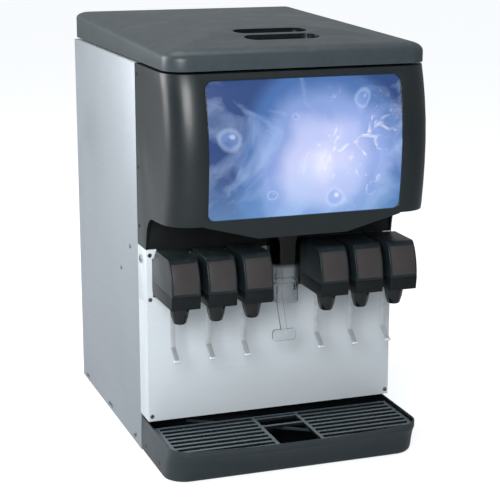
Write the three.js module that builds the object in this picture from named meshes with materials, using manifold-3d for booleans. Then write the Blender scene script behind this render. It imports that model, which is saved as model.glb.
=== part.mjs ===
// A counter-top ice and fountain-drink dispenser with six valves, as an assembly of separate parts.
// Millimetres. X to the right, Y to the back, Z up. The origin is on the counter, under the middle
// of the machine. Every part is one closed body, and parts that touch keep a small gap.
import * as THREE from "three";
import { mergeVertices } from "three/addons/utils/BufferGeometryUtils.js";
import Module from "manifold-3d";

const wasm = await Module();
wasm.setup();

// ---------------------------------------------------------------- driving dimensions

const GAP = 0.3; // between parts that touch
const PAST = 20; // how far a cutting solid runs past what it cuts

const HALF_WIDTH = 279.5;
const CABINET_FRONT = -142;
const CABINET_REAR = 410;
const CABINET_TOP = 846;
const SHEET = 2; // cabinet sheet metal
const FLANGE = 14; // folded edge of a side panel
const REAR_PANEL_Y = 398; // its inner face

const SPLASH_Y = -207; // front face of the splash panel
const SPLASH_SHEET = 1.8;
const SPLASH_BOTTOM = 86;
const SPLASH_SEAM = 347; // the side returns change panel here
const SPLASH_TOP = 464;

const INNER_PANEL = [-202.8, -200.8]; // front and rear face of the sheet behind the bonnet

const BONNET_WALL = 3.5;
const BONNET_CORNER = 60;
const BONNET_BULGE_Z = 690; // the front is furthest forward at this height
const BONNET_BULGE_Y = -410;
const BONNET_CHIN_Z = 557; // below this the front slopes back in
const DECK = 4;
const LEG_FRONT = -206; // front edge of the bonnet's two side legs
const LIP_Z = 547; // lower edge of the bonnet at its front corners
const CHIN_Z = 514; // lower edge in the middle
const SHOULDER = 210; // half the stretch over which the lower edge drops to the chin

const DISPLAY_HALF = 207;
const DISPLAY_LOW = BONNET_CHIN_Z;
const DISPLAY_HIGH = 834;
const DISPLAY_CORNER = 17;
const BEZEL = 1.6;
const FRONT_CUT = [-450, -350]; // front to back, what cuts through the bonnet's face

const LAMP_BOX = { half: 215, low: 552, high: 839, front: -377, back: -345 };
const LAMP = { radius: 7, y: -361, heights: [630, 760] };
const ELECTRICAL_BOX = { across: [-240, -100], back: -145, height: [690, 800], wall: 1.5 };

const LID_BOTTOM = 851;
const LID_HALF = 277.5;
const LID_FRONT = -378;
const LID_REAR = 408;
const LID_WALL = 3.5;
const LID_CORNER = 45;
const LID_ROUND = 40; // how far in from the edge the rounding runs
const LID_APEX = [0, 16, 915];

const POCKET_HALF = 80;
const POCKET_DEPTH = 55; // front to back, each of the two
const POCKET_CENTRES = [-187, -260];
const POCKET_FLOOR = 876;
const POCKET_RIM = 5; // how far the moulded tub reaches past the pockets
const GRIP_UNDERSIDE = 891;

const HINGE = { x: 180, y: 402, z: 853 }; // the lid's axis, and where its two hinges are
const HINGE_PIN = 2;
const LUG_HALF = 10;
const KNUCKLE = 4.5;
const HINGE_NOTCH = { half: 22.5, deep: 8, top: 863 }; // cut in the lid's rear wall for a bracket

const VALVE_CENTRES = [-239.1, -161.3, -83.5, 83.5, 161.3, 239.1];
const VALVE_HALF = 30.5;
const VALVE_BOTTOM = 371;
const VALVE_SEAM = 398;
const VALVE_TOP = 472;
const VALVE_FRONT = -361;
const VALVE_REAR = -220;
const MOUNT_REAR = SPLASH_Y - GAP;
const NOZZLE_Y = -311;
const VALVE_WALL = 2.5;
const COIL = { radius: 10, y: -240, top: 438, apart: 13 };
const FLOW_CONTROL = { radius: 8, y: -300, top: 445, apart: 13 };
const SPIGOT = { radius: 12, top: 391 }; // the nozzle's upper end, held in the body
const LEVER_PIVOT = [-259, 385]; // y and z
const TRUNNION = { radius: 2, half: 12 };
const LEVER_HALF = 5.5;
const LEVER_THICK = 2;

const TRAY_WALL = 3.5;
const TRAY_FLOOR = 20;
const TRAY_REAR = CABINET_FRONT - GAP;
const RIM = { z: 78, half: 277, front: -389, corner: 47, bow: 16.6 };
const DRAIN = { at: [0, 18], neck: 6.5, collar: 9, bore: 4.5, end: -95, sump: 40 };
const REST_TOP = 72;
const REST_THICK = 6;
const REST_REAR = -214;
const REST_INSET = 7.5; // from the rim's outer edge to the cup rest
const REST_FRAME = 8;
const REST_PITCH = 21;
const REST_DIVIDER = 50;

const BIN = { half: 262, front: -131, rear: 330, floor: 500, rise: 600, flat: 60, wall: 3, top: 842 };
const BIN_LIP = 4;
const OUTLET = { half: 26, low: 690, high: 745 };
const WHEEL = { z: 645, radius: 130, shaft: 9, hub: 24, front: -105, rear: -45 };
const BEARING = [BIN.front + BIN.wall + GAP, -112];
const COLD_PLATE = { half: 236, front: -125, rear: 52, low: 468, high: 499 };
const FOAM_BELOW = 45;
const FOAM_BEHIND = 15;

const CHUTE = { half: 31, front: -313, rear: -257, top: 760, step: 392, wall: 2.5 };
const CHUTE_FLANGE = { half: 47, height: [590, 780] };
const SPOUT = { half: 26, front: -311, rear: -259, bottom: 352 };

const ICE_PIVOT = [-240, 505];
const ICE_SHAFT = 3;
const CRANK_X = [43, 49];
const PUSHROD = { x: 46, y: -157.5, radius: 2.5, rest: 3.5 };
const GATE_PIVOT = [-135.5, 756];
const GATE = { half: 27.7, front: -134.5, rear: -131.5, low: 688 }; // swings into the chute's channel
const GATE_EARS = [33, 37];
const GATE_SHAFT_END = -40;

const KEY = { y: -169, z: 437.5, bezel: 9, barrel: 7.5, plug: 5.5, proud: 2.6, depth: 26 };
const GLAND = { at: [-200, 60], neck: 8, collar: 13, nut: 11, bore: 3.5 };

// ---------------------------------------------------------------- materials

const finish = (color, roughness, metalness, opacity = 1) =>
  new THREE.MeshStandardMaterial({ color, roughness, metalness, opacity, transparent: opacity < 1 });

const STAINLESS = finish(0xbac3cd, 0.42, 0.9);
const SLATE = finish(0x4a555a, 0.5, 0);
const BLACK = finish(0x15191b, 0.45, 0);
const GLOSS_BLACK = finish(0x0c0e10, 0.15, 0);
const STEEL = finish(0xd5dade, 0.22, 1);
const CLEAR = finish(0xdfe9ee, 0.08, 0, 0.35);
const DISPLAY = finish(0x6f9bdc, 0.2, 0);
const WHITE = finish(0xe8eaec, 0.5, 0);
const FOAM = finish(0xe6dcc0, 0.9, 0);
const CAST_ALUMINIUM = finish(0xa9adb0, 0.5, 0.9);
const GREY = finish(0x7c858b, 0.5, 0.2);

// ---------------------------------------------------------------- solids

// A closed geometry as a manifold solid.
function solid(geometry) {
  const bare = geometry.index ? geometry.toNonIndexed() : geometry;
  bare.deleteAttribute("normal");
  bare.deleteAttribute("uv");
  const merged = mergeVertices(bare, 1e-4);
  return new wasm.Manifold(
    new wasm.Mesh({
      numProp: 3,
      vertProperties: merged.attributes.position.array,
      triVerts: new Uint32Array(merged.index.array),
    }),
  );
}

const join = (...parts) => parts.reduce((sum, part) => sum.add(part));
const cut = (body, ...tools) => tools.reduce((left, tool) => left.subtract(tool), body);

// A box between two corners, each given as a low and a high value.
function block([x0, x1], [y0, y1], [z0, z1]) {
  const box = new THREE.BoxGeometry(x1 - x0, y1 - y0, z1 - z0);
  return solid(box.translate((x0 + x1) / 2, (y0 + y1) / 2, (z0 + z1) / 2));
}

// The same box on both sides of the machine.
function pair([x0, x1], y, z) {
  return [block([x0, x1], y, z), block([-x1, -x0], y, z)];
}

const shapeOf = (points) => new THREE.Shape(points.map(([u, v]) => new THREE.Vector2(u, v)));

function extrude(shape, length, curveSegments = 6) {
  return new THREE.ExtrudeGeometry(shape, { depth: length, bevelEnabled: false, curveSegments });
}

// An outline in Y and Z, pushed along X from x0 to x1.
function alongX(shape, [x0, x1]) {
  const turn = new THREE.Matrix4().makeBasis(
    new THREE.Vector3(0, 1, 0),
    new THREE.Vector3(0, 0, 1),
    new THREE.Vector3(1, 0, 0),
  );
  return solid(extrude(shape, x1 - x0).applyMatrix4(turn).translate(x0, 0, 0));
}

// An outline in X and Z, pushed along Y from y0 to y1.
function alongY(shape, [y0, y1]) {
  const turn = new THREE.Matrix4().makeBasis(
    new THREE.Vector3(1, 0, 0),
    new THREE.Vector3(0, 0, 1),
    new THREE.Vector3(0, -1, 0),
  );
  return solid(extrude(shape, y1 - y0).applyMatrix4(turn).translate(0, y1, 0));
}

// An outline in X and Y, pushed up from z0 to z1.
function alongZ(shape, [z0, z1]) {
  return solid(extrude(shape, z1 - z0).translate(0, 0, z0));
}

// A round bar along one axis. The other two coordinates of its centre are given in X, Y, Z order.
function bar(axis, radius, [from, to], [a, b], sides = 16) {
  const rod = new THREE.CylinderGeometry(radius, radius, to - from, sides);
  const middle = (from + to) / 2;
  if (axis === "x") rod.rotateZ(Math.PI / 2).translate(middle, a, b);
  if (axis === "y") rod.translate(a, middle, b);
  if (axis === "z") rod.rotateX(Math.PI / 2).translate(a, b, middle);
  return solid(rod);
}

// A turned body about a vertical axis, from a profile of radius and height.
function turned(profile, [x, y], sides = 20) {
  const points = profile.map(([r, z]) => new THREE.Vector2(r, z));
  return solid(new THREE.LatheGeometry(points, sides).rotateX(Math.PI / 2).translate(x, y, 0));
}

// A rectangle with all four corners rounded.
function roundedRectangle([u0, u1], [v0, v1], radius) {
  const shape = new THREE.Shape();
  shape.absarc(u1 - radius, v0 + radius, radius, -Math.PI / 2, 0);
  shape.absarc(u1 - radius, v1 - radius, radius, 0, Math.PI / 2);
  shape.absarc(u0 + radius, v1 - radius, radius, Math.PI / 2, Math.PI);
  shape.absarc(u0 + radius, v0 + radius, radius, Math.PI, Math.PI * 1.5);
  return shape;
}

// Points on an arc, its two ends included.
function arc([cx, cy], radius, from, to, steps) {
  return Array.from({ length: steps + 1 }, (_, i) => {
    const angle = THREE.MathUtils.degToRad(from + ((to - from) * i) / steps);
    return [cx + radius * Math.cos(angle), cy + radius * Math.sin(angle)];
  });
}

// A closed body through rings of equally many points, each ring an anticlockwise list of [x, y, z].
function loft(rings) {
  const count = rings[0].length;
  const position = rings.flat(2);
  const index = [];
  const flat = rings[0].map(([x, y]) => new THREE.Vector2(x, y));
  const caps = THREE.ShapeUtils.triangulateShape(flat, []);
  const last = (rings.length - 1) * count;
  for (const [a, b, c] of caps) index.push(c, b, a, last + a, last + b, last + c);
  for (let ring = 0; ring + 1 < rings.length; ring += 1) {
    for (let i = 0; i < count; i += 1) {
      const a = ring * count + i;
      const b = ring * count + ((i + 1) % count);
      index.push(a, b, b + count, a, b + count, a + count);
    }
  }
  const geometry = new THREE.BufferGeometry();
  geometry.setAttribute("position", new THREE.Float32BufferAttribute(position, 3));
  geometry.setIndex(index);
  return solid(geometry);
}

const level = (points, z) => points.map(([x, y]) => [x, y, z]);

// ---------------------------------------------------------------- the assembly

const dispenser = new THREE.Group();

function add(name, body, material) {
  const { numProp, vertProperties, triVerts } = body.getMesh();
  const count = vertProperties.length / numProp;
  const position = new Float32Array(count * 3);
  for (let i = 0; i < count; i += 1) {
    position.set(vertProperties.subarray(i * numProp, i * numProp + 3), i * 3);
  }
  const geometry = new THREE.BufferGeometry();
  geometry.setAttribute("position", new THREE.BufferAttribute(position, 3));
  geometry.setIndex(new THREE.BufferAttribute(triVerts, 1));
  const mesh = new THREE.Mesh(geometry, material);
  mesh.name = name;
  dispenser.add(mesh);
}

// ---------------------------------------------------------------- cabinet

function basePan() {
  const inner = HALF_WIDTH - SHEET - GAP;
  const front = CABINET_FRONT + SHEET + GAP;
  const rear = REAR_PANEL_Y - GAP;
  const upstand = 14;
  const floor = block([-inner, inner], [front, rear], [0, SHEET]);
  const sides = pair([inner - SHEET, inner], [front, rear], [0, upstand]);
  const back = block([-inner, inner], [rear - SHEET, rear], [0, upstand]);
  return join(floor, ...sides, back);
}

// One outer side, a sheet folded inwards at its front and near its rear edge.
function sidePanel(side) {
  const out = side * HALF_WIDTH;
  const inner = side * (HALF_WIDTH - SHEET);
  const fold = side * (HALF_WIDTH - FLANGE);
  const rearFold = REAR_PANEL_Y + SHEET + GAP;
  const section = [
    [fold, CABINET_FRONT],
    [out, CABINET_FRONT],
    [out, CABINET_REAR],
    [inner, CABINET_REAR],
    [inner, rearFold + SHEET],
    [fold, rearFold + SHEET],
    [fold, rearFold],
    [inner, rearFold],
    [inner, CABINET_FRONT + SHEET],
    [fold, CABINET_FRONT + SHEET],
  ];
  return alongZ(shapeOf(section), [0, CABINET_TOP]);
}

function rearPanel() {
  const half = HALF_WIDTH - SHEET - GAP;
  const slotHalf = 70;
  const slotHeight = 6;
  const slotPitch = 16;
  const firstSlot = 250;
  const slots = [-130, 130].flatMap((x) =>
    Array.from({ length: 8 }, (_, i) => {
      const z = firstSlot + i * slotPitch;
      return block(
        [x - slotHalf, x + slotHalf],
        [REAR_PANEL_Y - PAST, REAR_PANEL_Y + PAST],
        [z, z + slotHeight],
      );
    }),
  );
  const sheet = block([-half, half], [REAR_PANEL_Y, REAR_PANEL_Y + SHEET], [GAP, CABINET_TOP - SHEET]);
  const glandHole = bar("y", GLAND.neck + GAP, [REAR_PANEL_Y - PAST, REAR_PANEL_Y + PAST], GLAND.at);
  return cut(sheet, ...slots, glandHole);
}

function cordGland() {
  const outside = REAR_PANEL_Y + SHEET + GAP;
  const inside = REAR_PANEL_Y - GAP;
  const thread = 14;
  const collarThick = 6;
  const nutThick = 8;
  return cut(
    join(
      bar("y", GLAND.neck, [inside - thread, outside + 1], GLAND.at),
      bar("y", GLAND.collar, [outside, outside + collarThick], GLAND.at, 6),
      bar("y", GLAND.nut, [inside - nutThick, inside], GLAND.at, 6),
    ),
    bar("y", GLAND.bore, [inside - PAST, outside + PAST], GLAND.at),
  );
}

function splashPanel() {
  const face = [SPLASH_Y, SPLASH_Y + SPLASH_SHEET];
  const side = [HALF_WIDTH - SPLASH_SHEET, HALF_WIDTH];
  return join(
    block([-HALF_WIDTH, HALF_WIDTH], face, [SPLASH_BOTTOM, SPLASH_TOP]),
    ...pair(side, [SPLASH_Y, CABINET_FRONT - GAP], [SPLASH_BOTTOM, SPLASH_SEAM]),
  );
}

// The sheet behind the splash panel that carries the valves and the key switch.
function valvePanel() {
  const front = SPLASH_Y + SPLASH_SHEET + GAP;
  const side = [HALF_WIDTH - SPLASH_SHEET, HALF_WIDTH];
  const height = [SPLASH_SEAM + GAP, SPLASH_TOP];
  const keyHole = bar("x", KEY.barrel + GAP, [-HALF_WIDTH - PAST, -HALF_WIDTH + PAST], [KEY.y, KEY.z]);
  const body = join(
    block([-HALF_WIDTH, HALF_WIDTH], [front, front + SPLASH_SHEET], height),
    ...pair(side, [front, CABINET_FRONT - GAP], height),
  );
  return cut(body, keyHole);
}

function innerPanel() {
  const half = HALF_WIDTH - BONNET_WALL - GAP;
  const through = [INNER_PANEL[0] - PAST, INNER_PANEL[1] + PAST];
  const sheet = block([-half, half], INNER_PANEL, [SPLASH_TOP + GAP, CABINET_TOP - DECK - GAP]);
  const clear = 3;
  const chuteHole = block(
    [-CHUTE.half - 1, CHUTE.half + 1],
    through,
    [CHUTE_FLANGE.height[0] + 10, CHUTE.top + clear],
  );
  const crankSlot = block(
    [CRANK_X[0] - clear, CRANK_X[1] + clear],
    through,
    [ICE_PIVOT[1] - 8, ICE_PIVOT[1] + 20],
  );
  return cut(sheet, chuteHole, crankSlot);
}

function keySwitchBody() {
  const face = -HALF_WIDTH - GAP;
  return cut(
    join(
      bar("x", KEY.bezel, [face - KEY.proud, face], [KEY.y, KEY.z]),
      bar("x", KEY.barrel, [face - 1, face + KEY.depth], [KEY.y, KEY.z]),
    ),
    bar("x", KEY.plug + GAP, [face - PAST, face + KEY.depth - 6], [KEY.y, KEY.z]),
  );
}

function keyCylinder() {
  const face = -HALF_WIDTH - GAP;
  const slot = { half: 0.9, reach: 4 };
  return cut(
    bar("x", KEY.plug, [face - KEY.proud - 0.6, face + KEY.depth - 7], [KEY.y, KEY.z]),
    block(
      [face - PAST, face + 1],
      [KEY.y - slot.half, KEY.y + slot.half],
      [KEY.z - slot.reach, KEY.z + slot.reach],
    ),
  );
}

// ---------------------------------------------------------------- bonnet and lit display

// How far forward the bonnet's front stands at a height.
function bonnetFront(z) {
  const above = 0.00115;
  const below = 0.00066;
  const chinSlope = 0.28;
  const bow = (height) => (height > BONNET_BULGE_Z ? above : below) * (height - BONNET_BULGE_Z) ** 2;
  if (z >= BONNET_CHIN_Z) return BONNET_BULGE_Y + bow(z);
  return BONNET_BULGE_Y + bow(BONNET_CHIN_Z) + (BONNET_CHIN_Z - z) * chinSlope;
}

// The bonnet's outline seen from above, at one height and a distance in from its surface.
function bonnetRing(z, inset, rear) {
  const half = HALF_WIDTH - inset;
  const front = bonnetFront(z) + inset;
  const radius = BONNET_CORNER - inset;
  return level(
    [
      [half, rear],
      [-half, rear],
      ...arc([-half + radius, front + radius], radius, 180, 270, 6),
      ...arc([half - radius, front + radius], radius, 270, 360, 6),
    ],
    z,
  );
}

const BONNET_LEVELS = [SPLASH_TOP, CHIN_Z, BONNET_CHIN_Z, 600, 645, BONNET_BULGE_Z, 735, 780, 815];

// What the side of the bonnet leaves open: below a curve from the leg up to the front lip.
function sideOpening() {
  const shape = new THREE.Shape();
  const low = SPLASH_TOP - PAST;
  shape.moveTo(LEG_FRONT, low);
  shape.lineTo(LEG_FRONT, SPLASH_TOP);
  shape.bezierCurveTo(LEG_FRONT - 4, 500, LEG_FRONT - 14, 539, -262, 540);
  shape.bezierCurveTo(-300, 541, -330, LIP_Z - 1, -372, LIP_Z);
  shape.lineTo(-450, LIP_Z + 3);
  shape.lineTo(-450, low);
  return shape;
}

// What the front leaves open: its lower edge drops from each corner to a level chin.
function frontOpening() {
  const chinHalf = 95;
  const lip = LIP_Z - 1;
  return shapeOf([
    [-SHOULDER, SPLASH_TOP - PAST],
    [SHOULDER, SPLASH_TOP - PAST],
    [SHOULDER, lip],
    [chinHalf, CHIN_Z],
    [-chinHalf, CHIN_Z],
    [-SHOULDER, lip],
  ]);
}

function bonnet() {
  const rear = CABINET_FRONT - GAP;
  const outer = loft([...BONNET_LEVELS, CABINET_TOP].map((z) => bonnetRing(z, 0, rear)));
  const inner = loft(
    [SPLASH_TOP - PAST, ...BONNET_LEVELS.slice(1), CABINET_TOP - DECK].map((z) =>
      bonnetRing(z, BONNET_WALL, rear + PAST),
    ),
  );
  const side = sideOpening();
  return cut(
    outer,
    inner,
    alongX(side, [SHOULDER, HALF_WIDTH + PAST]),
    alongX(side, [-HALF_WIDTH - PAST, -SHOULDER]),
    alongY(frontOpening(), [FRONT_CUT[0], FRONT_CUT[1] + 50]),
    windowPrism(0),
  );
}

// A slab that follows the bonnet's bowed front, between two depths behind its surface.
function bowedSlab(near, far) {
  const steps = 8;
  const low = DISPLAY_LOW - 7;
  const high = DISPLAY_HIGH + 8;
  const heights = Array.from({ length: steps + 1 }, (_, i) => low + ((high - low) * i) / steps);
  const front = heights.map((z) => [bonnetFront(Math.max(z, BONNET_CHIN_Z)) + near, z]);
  const back = heights.map((z) => [bonnetFront(Math.max(z, BONNET_CHIN_Z)) + far, z]).reverse();
  const reach = DISPLAY_HALF + PAST;
  return alongX(shapeOf([...front.reverse(), ...back.reverse()]), [-reach, reach]);
}

// The display's outline as a prism through the bonnet's face.
function windowPrism(inset) {
  const outline = roundedRectangle(
    [-DISPLAY_HALF + inset, DISPLAY_HALF - inset],
    [DISPLAY_LOW + inset, DISPLAY_HIGH - inset],
    DISPLAY_CORNER - inset,
  );
  return alongY(outline, FRONT_CUT);
}

const displayPanel = () => windowPrism(BEZEL + 2 * GAP).intersect(bowedSlab(1, 4));

const displayBezel = () =>
  cut(windowPrism(GAP), windowPrism(BEZEL + GAP)).intersect(bowedSlab(-0.6, 4));

function lampHousing() {
  const { half, low, high, front, back } = LAMP_BOX;
  const hollow = block(
    [-half + SHEET, half - SHEET],
    [front - PAST, back - SHEET],
    [low + SHEET, high - SHEET],
  );
  return cut(block([-half, half], [front, back], [low, high]), hollow);
}

// Two lamp tubes in their end holders.
function lampTubes() {
  const half = LAMP_BOX.half - SHEET - GAP;
  const back = LAMP_BOX.back - SHEET - GAP;
  const holder = { thick: 10, past: 14 };
  const [low, high] = LAMP.heights;
  const tubes = LAMP.heights.map((z) => bar("x", LAMP.radius, [-half + 4, half - 4], [LAMP.y, z]));
  const ends = pair(
    [half - holder.thick, half],
    [LAMP.y - holder.thick, back],
    [low - holder.past, high + holder.past],
  );
  return join(...tubes, ...ends);
}

// A sheet box over the lamp ballast and the valve transformer, open towards the panel it hangs on.
function electricalBox() {
  const { across, back, height, wall } = ELECTRICAL_BOX;
  const front = INNER_PANEL[1] + GAP;
  return cut(
    block(across, [front, back], height),
    block(
      [across[0] + wall, across[1] - wall],
      [front - PAST, back - wall],
      [height[0] + wall, height[1] - wall],
    ),
  );
}

// ---------------------------------------------------------------- lid

// How high the straight side of the lid, and the rim inside its rounding, stand at a depth.
const lidSideTop = (y) => THREE.MathUtils.mapLinear(y, LID_FRONT, LID_REAR, 880, 905);
const lidRim = (y) => THREE.MathUtils.mapLinear(y, LID_FRONT, LID_REAR, 891.5, 913);

function lidOutline(inset) {
  const half = LID_HALF - inset;
  const front = LID_FRONT + inset;
  const rear = LID_REAR - inset;
  const radius = Math.max(LID_CORNER - inset, 4);
  const rearRadius = Math.max(18 - inset, 3);
  return [
    ...arc([half - rearRadius, rear - rearRadius], rearRadius, 0, 90, 3),
    ...arc([-half + rearRadius, rear - rearRadius], rearRadius, 90, 180, 3),
    ...arc([-half + radius, front + radius], radius, 180, 270, 6),
    ...arc([half - radius, front + radius], radius, 270, 360, 6),
  ];
}

// The lid's whole outer form, or with a drop, its hollow.
function lidForm(inset, drop, bottom) {
  const steps = [0, 0.12, 0.35, 0.65, 1];
  const rings = steps.map((t) =>
    lidOutline(inset + t * (LID_ROUND - inset)).map(([x, y]) => {
      const rise = Math.sqrt(1 - (1 - t) ** 2);
      return [x, y, THREE.MathUtils.lerp(lidSideTop(y), lidRim(y), rise) - drop];
    }),
  );
  const crowned = [0.7, 0.4, 0.004].map((left) =>
    rings.at(-1).map(([x, y, z]) => [
      THREE.MathUtils.lerp(LID_APEX[0], x, left),
      THREE.MathUtils.lerp(LID_APEX[1], y, left),
      THREE.MathUtils.lerp(LID_APEX[2] - drop, z, left ** 2),
    ]),
  );
  return loft([level(lidOutline(inset), bottom), ...rings, ...crowned]);
}

function lid() {
  const shell = cut(lidForm(0, 0, LID_BOTTOM), lidForm(LID_WALL, LID_WALL, LID_BOTTOM - PAST));
  const [near, far] = POCKET_CENTRES;
  const half = POCKET_DEPTH / 2;
  const tub = block(
    [-POCKET_HALF - POCKET_RIM, POCKET_HALF + POCKET_RIM],
    [far - half - POCKET_RIM, near + half + POCKET_RIM],
    [POCKET_FLOOR - LID_WALL, LID_APEX[2] + PAST],
  ).intersect(lidForm(0, 0, LID_BOTTOM));
  const pockets = POCKET_CENTRES.map((y) =>
    alongZ(roundedRectangle([-POCKET_HALF, POCKET_HALF], [y - half, y + half], half - 1), [
      POCKET_FLOOR,
      LID_APEX[2] + PAST,
    ]),
  );
  const underGrip = block(
    [-POCKET_HALF + half, POCKET_HALF - half],
    [far, near],
    [POCKET_FLOOR, GRIP_UNDERSIDE],
  );
  const lugs = [-HINGE.x, HINGE.x].flatMap((x) => {
    const across = [x - LUG_HALF, x + LUG_HALF];
    return [
      bar("x", KNUCKLE, across, [HINGE.y, HINGE.z]),
      block(across, [HINGE.y - KNUCKLE, LID_REAR - 1], [HINGE.z, HINGE.z + 26]),
    ];
  });
  const notches = [-HINGE.x, HINGE.x].map((x) =>
    block(
      [x - HINGE_NOTCH.half, x + HINGE_NOTCH.half],
      [HINGE.y - HINGE_NOTCH.deep, LID_REAR + PAST],
      [LID_BOTTOM - PAST, HINGE_NOTCH.top],
    ),
  );
  const bores = [-HINGE.x, HINGE.x].map((x) =>
    bar("x", HINGE_PIN + GAP, [x - 2 * LUG_HALF, x + 2 * LUG_HALF], [HINGE.y, HINGE.z]),
  );
  const body = cut(join(shell, tub), ...pockets, underGrip, ...notches);
  return cut(join(body, ...lugs), ...bores);
}

const hingePin = (x) =>
  bar("x", HINGE_PIN, [x - 2.1 * LUG_HALF, x + 2.1 * LUG_HALF], [HINGE.y, HINGE.z]);

// A plate on the rear panel with two knuckles, one each side of the lid's lug.
function hingeBracket(x) {
  const plateY = [REAR_PANEL_Y + SHEET + GAP, REAR_PANEL_Y + SHEET + GAP + 3];
  const inner = LUG_HALF + 1;
  const outer = LUG_HALF + 11;
  const arms = [
    [x - outer, x - inner],
    [x + inner, x + outer],
  ].flatMap((across) => [
    bar("x", KNUCKLE, across, [HINGE.y, HINGE.z]),
    block(across, plateY, [CABINET_TOP - 10, HINGE.z]),
  ]);
  return cut(
    join(block([x - outer, x + outer], plateY, [CABINET_TOP - 36, CABINET_TOP]), ...arms),
    bar("x", HINGE_PIN + GAP, [x - outer - PAST, x + outer + PAST], [HINGE.y, HINGE.z]),
  );
}

// ---------------------------------------------------------------- valves

function valveSide() {
  const shape = new THREE.Shape();
  shape.moveTo(VALVE_REAR, VALVE_SEAM + GAP);
  shape.lineTo(VALVE_REAR, 440);
  shape.lineTo(-247, VALVE_TOP);
  shape.lineTo(-331, VALVE_TOP);
  shape.quadraticCurveTo(-337, VALVE_TOP, -341, VALVE_TOP - 5);
  shape.bezierCurveTo(-353, 452, VALVE_FRONT, 425, VALVE_FRONT, VALVE_SEAM + GAP);
  return shape;
}

// The hood over the working parts, open underneath.
function valveCover(x) {
  const hollow = shapeOf([
    [VALVE_REAR - VALVE_WALL, VALVE_SEAM - PAST],
    [VALVE_REAR - VALVE_WALL, 439],
    [-248, VALVE_TOP - VALVE_WALL],
    [-330, VALVE_TOP - VALVE_WALL],
    [-346, 450],
    [VALVE_FRONT + VALVE_WALL + 1, 420],
    [VALVE_FRONT + VALVE_WALL, VALVE_SEAM - PAST],
  ]);
  return cut(
    alongX(valveSide(), [x - VALVE_HALF, x + VALVE_HALF]),
    alongX(hollow, [x - VALVE_HALF + VALVE_WALL, x + VALVE_HALF - VALVE_WALL]),
  );
}

// Two upright cylinders side by side on a valve's body.
function twins(x, { radius, y, top, apart }, sides) {
  return [-apart, apart].map((dx) => bar("z", radius, [VALVE_SEAM - 1, top], [x + dx, y], sides));
}

// The lower body with its mounting block, two solenoids and two flow controls.
function valveBody(x) {
  const lower = shapeOf([
    [VALVE_REAR, VALVE_BOTTOM],
    [VALVE_REAR, VALVE_SEAM],
    [VALVE_FRONT, VALVE_SEAM],
    [VALVE_FRONT + 4, VALVE_BOTTOM],
  ]);
  const mount = shapeOf([
    [MOUNT_REAR, 445],
    [VALVE_REAR, 445],
    [VALVE_REAR, VALVE_BOTTOM - 1],
    [VALVE_REAR + 5, VALVE_BOTTOM - 8],
    [VALVE_REAR + 9, VALVE_BOTTOM - 8],
    [VALVE_REAR + 9, VALVE_BOTTOM],
    [MOUNT_REAR, VALVE_BOTTOM + 4],
  ]);
  const slot = block(
    [x - 8, x + 8],
    [LEVER_PIVOT[0] - 15, LEVER_PIVOT[0] + 14],
    [VALVE_BOTTOM - PAST, VALVE_SEAM - 4],
  );
  const journal = TRUNNION.half + GAP;
  const trunnion = bar("x", TRUNNION.radius + GAP, [x - journal, x + journal], LEVER_PIVOT, 12);
  const socketHeight = [VALVE_BOTTOM - PAST, SPIGOT.top + 1.5];
  const socket = bar("z", SPIGOT.radius + GAP, socketHeight, [x, NOZZLE_Y], 20);
  return cut(
    join(
      alongX(lower, [x - VALVE_HALF, x + VALVE_HALF]),
      alongX(mount, [x - VALVE_HALF + 2.5, x + VALVE_HALF - 2.5]),
      ...twins(x, COIL, 10),
      ...twins(x, FLOW_CONTROL, 8),
    ),
    slot,
    trunnion,
    socket,
  );
}

// A tapered nozzle with a short spigot above and its diffuser cone inside the mouth.
function nozzle(x) {
  const top = VALVE_BOTTOM - GAP;
  return turned(
    [
      [0, 337],
      [5, 333],
      [8.5, 331],
      [12, 331],
      [17.5, 348],
      [19.5, 361],
      [19.5, top],
      [SPIGOT.radius, top],
      [SPIGOT.radius, SPIGOT.top],
      [0, SPIGOT.top],
    ],
    [x, NOZZLE_Y],
  );
}

// A bent steel strap on a trunnion: straight down, then kicked forward for the cup to push.
function valveLever(x) {
  const [py, pz] = LEVER_PIVOT;
  const half = LEVER_THICK / 2;
  const strap = shapeOf([
    [py - half, pz],
    [py - half, 265],
    [-290, 241],
    [-288.6, 239.2],
    [py + half, 263],
    [py + half, pz],
  ]);
  return join(
    alongX(strap, [x - LEVER_HALF, x + LEVER_HALF]),
    bar("x", TRUNNION.radius, [x - TRUNNION.half, x + TRUNNION.half], LEVER_PIVOT, 12),
  );
}

// ---------------------------------------------------------------- drip tray and cup rest

// An outline with straight sides, round front corners and a bowed front.
function bowedOutline(half, front, rear, radius, bow) {
  const flat = half - radius;
  const frontPoints = Array.from({ length: 11 }, (_, i) => {
    const x = -flat + (2 * flat * i) / 10;
    return [x, front - bow * (1 - (x / flat) ** 2)];
  });
  return [
    [half, rear],
    [-half, rear],
    ...arc([-half + radius, front + radius], radius, 180, 262, 5),
    ...frontPoints.slice(1, -1),
    ...arc([half - radius, front + radius], radius, 278, 360, 5),
  ];
}

// The tray at a few heights: how far behind the rim its front stands, its bow and its half width.
const TRAY_LEVELS = [
  [0, 40, 0, 277],
  [4, 30, 0, 279],
  [12, 23, 0, HALF_WIDTH],
  [40, 20, 4, 279],
  [58, 15.5, 9, 278],
  [67, 10, 13, 277.5],
  [73, 3, 16, RIM.half],
  [RIM.z, 0, RIM.bow, RIM.half],
];

function trayInside(inset, front, [from, to]) {
  const outline = bowedOutline(
    RIM.half - inset,
    RIM.front + front,
    TRAY_REAR - inset,
    RIM.corner - TRAY_WALL,
    RIM.bow * (1 - front / 60),
  );
  return alongZ(shapeOf(outline), [from, to]);
}

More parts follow.
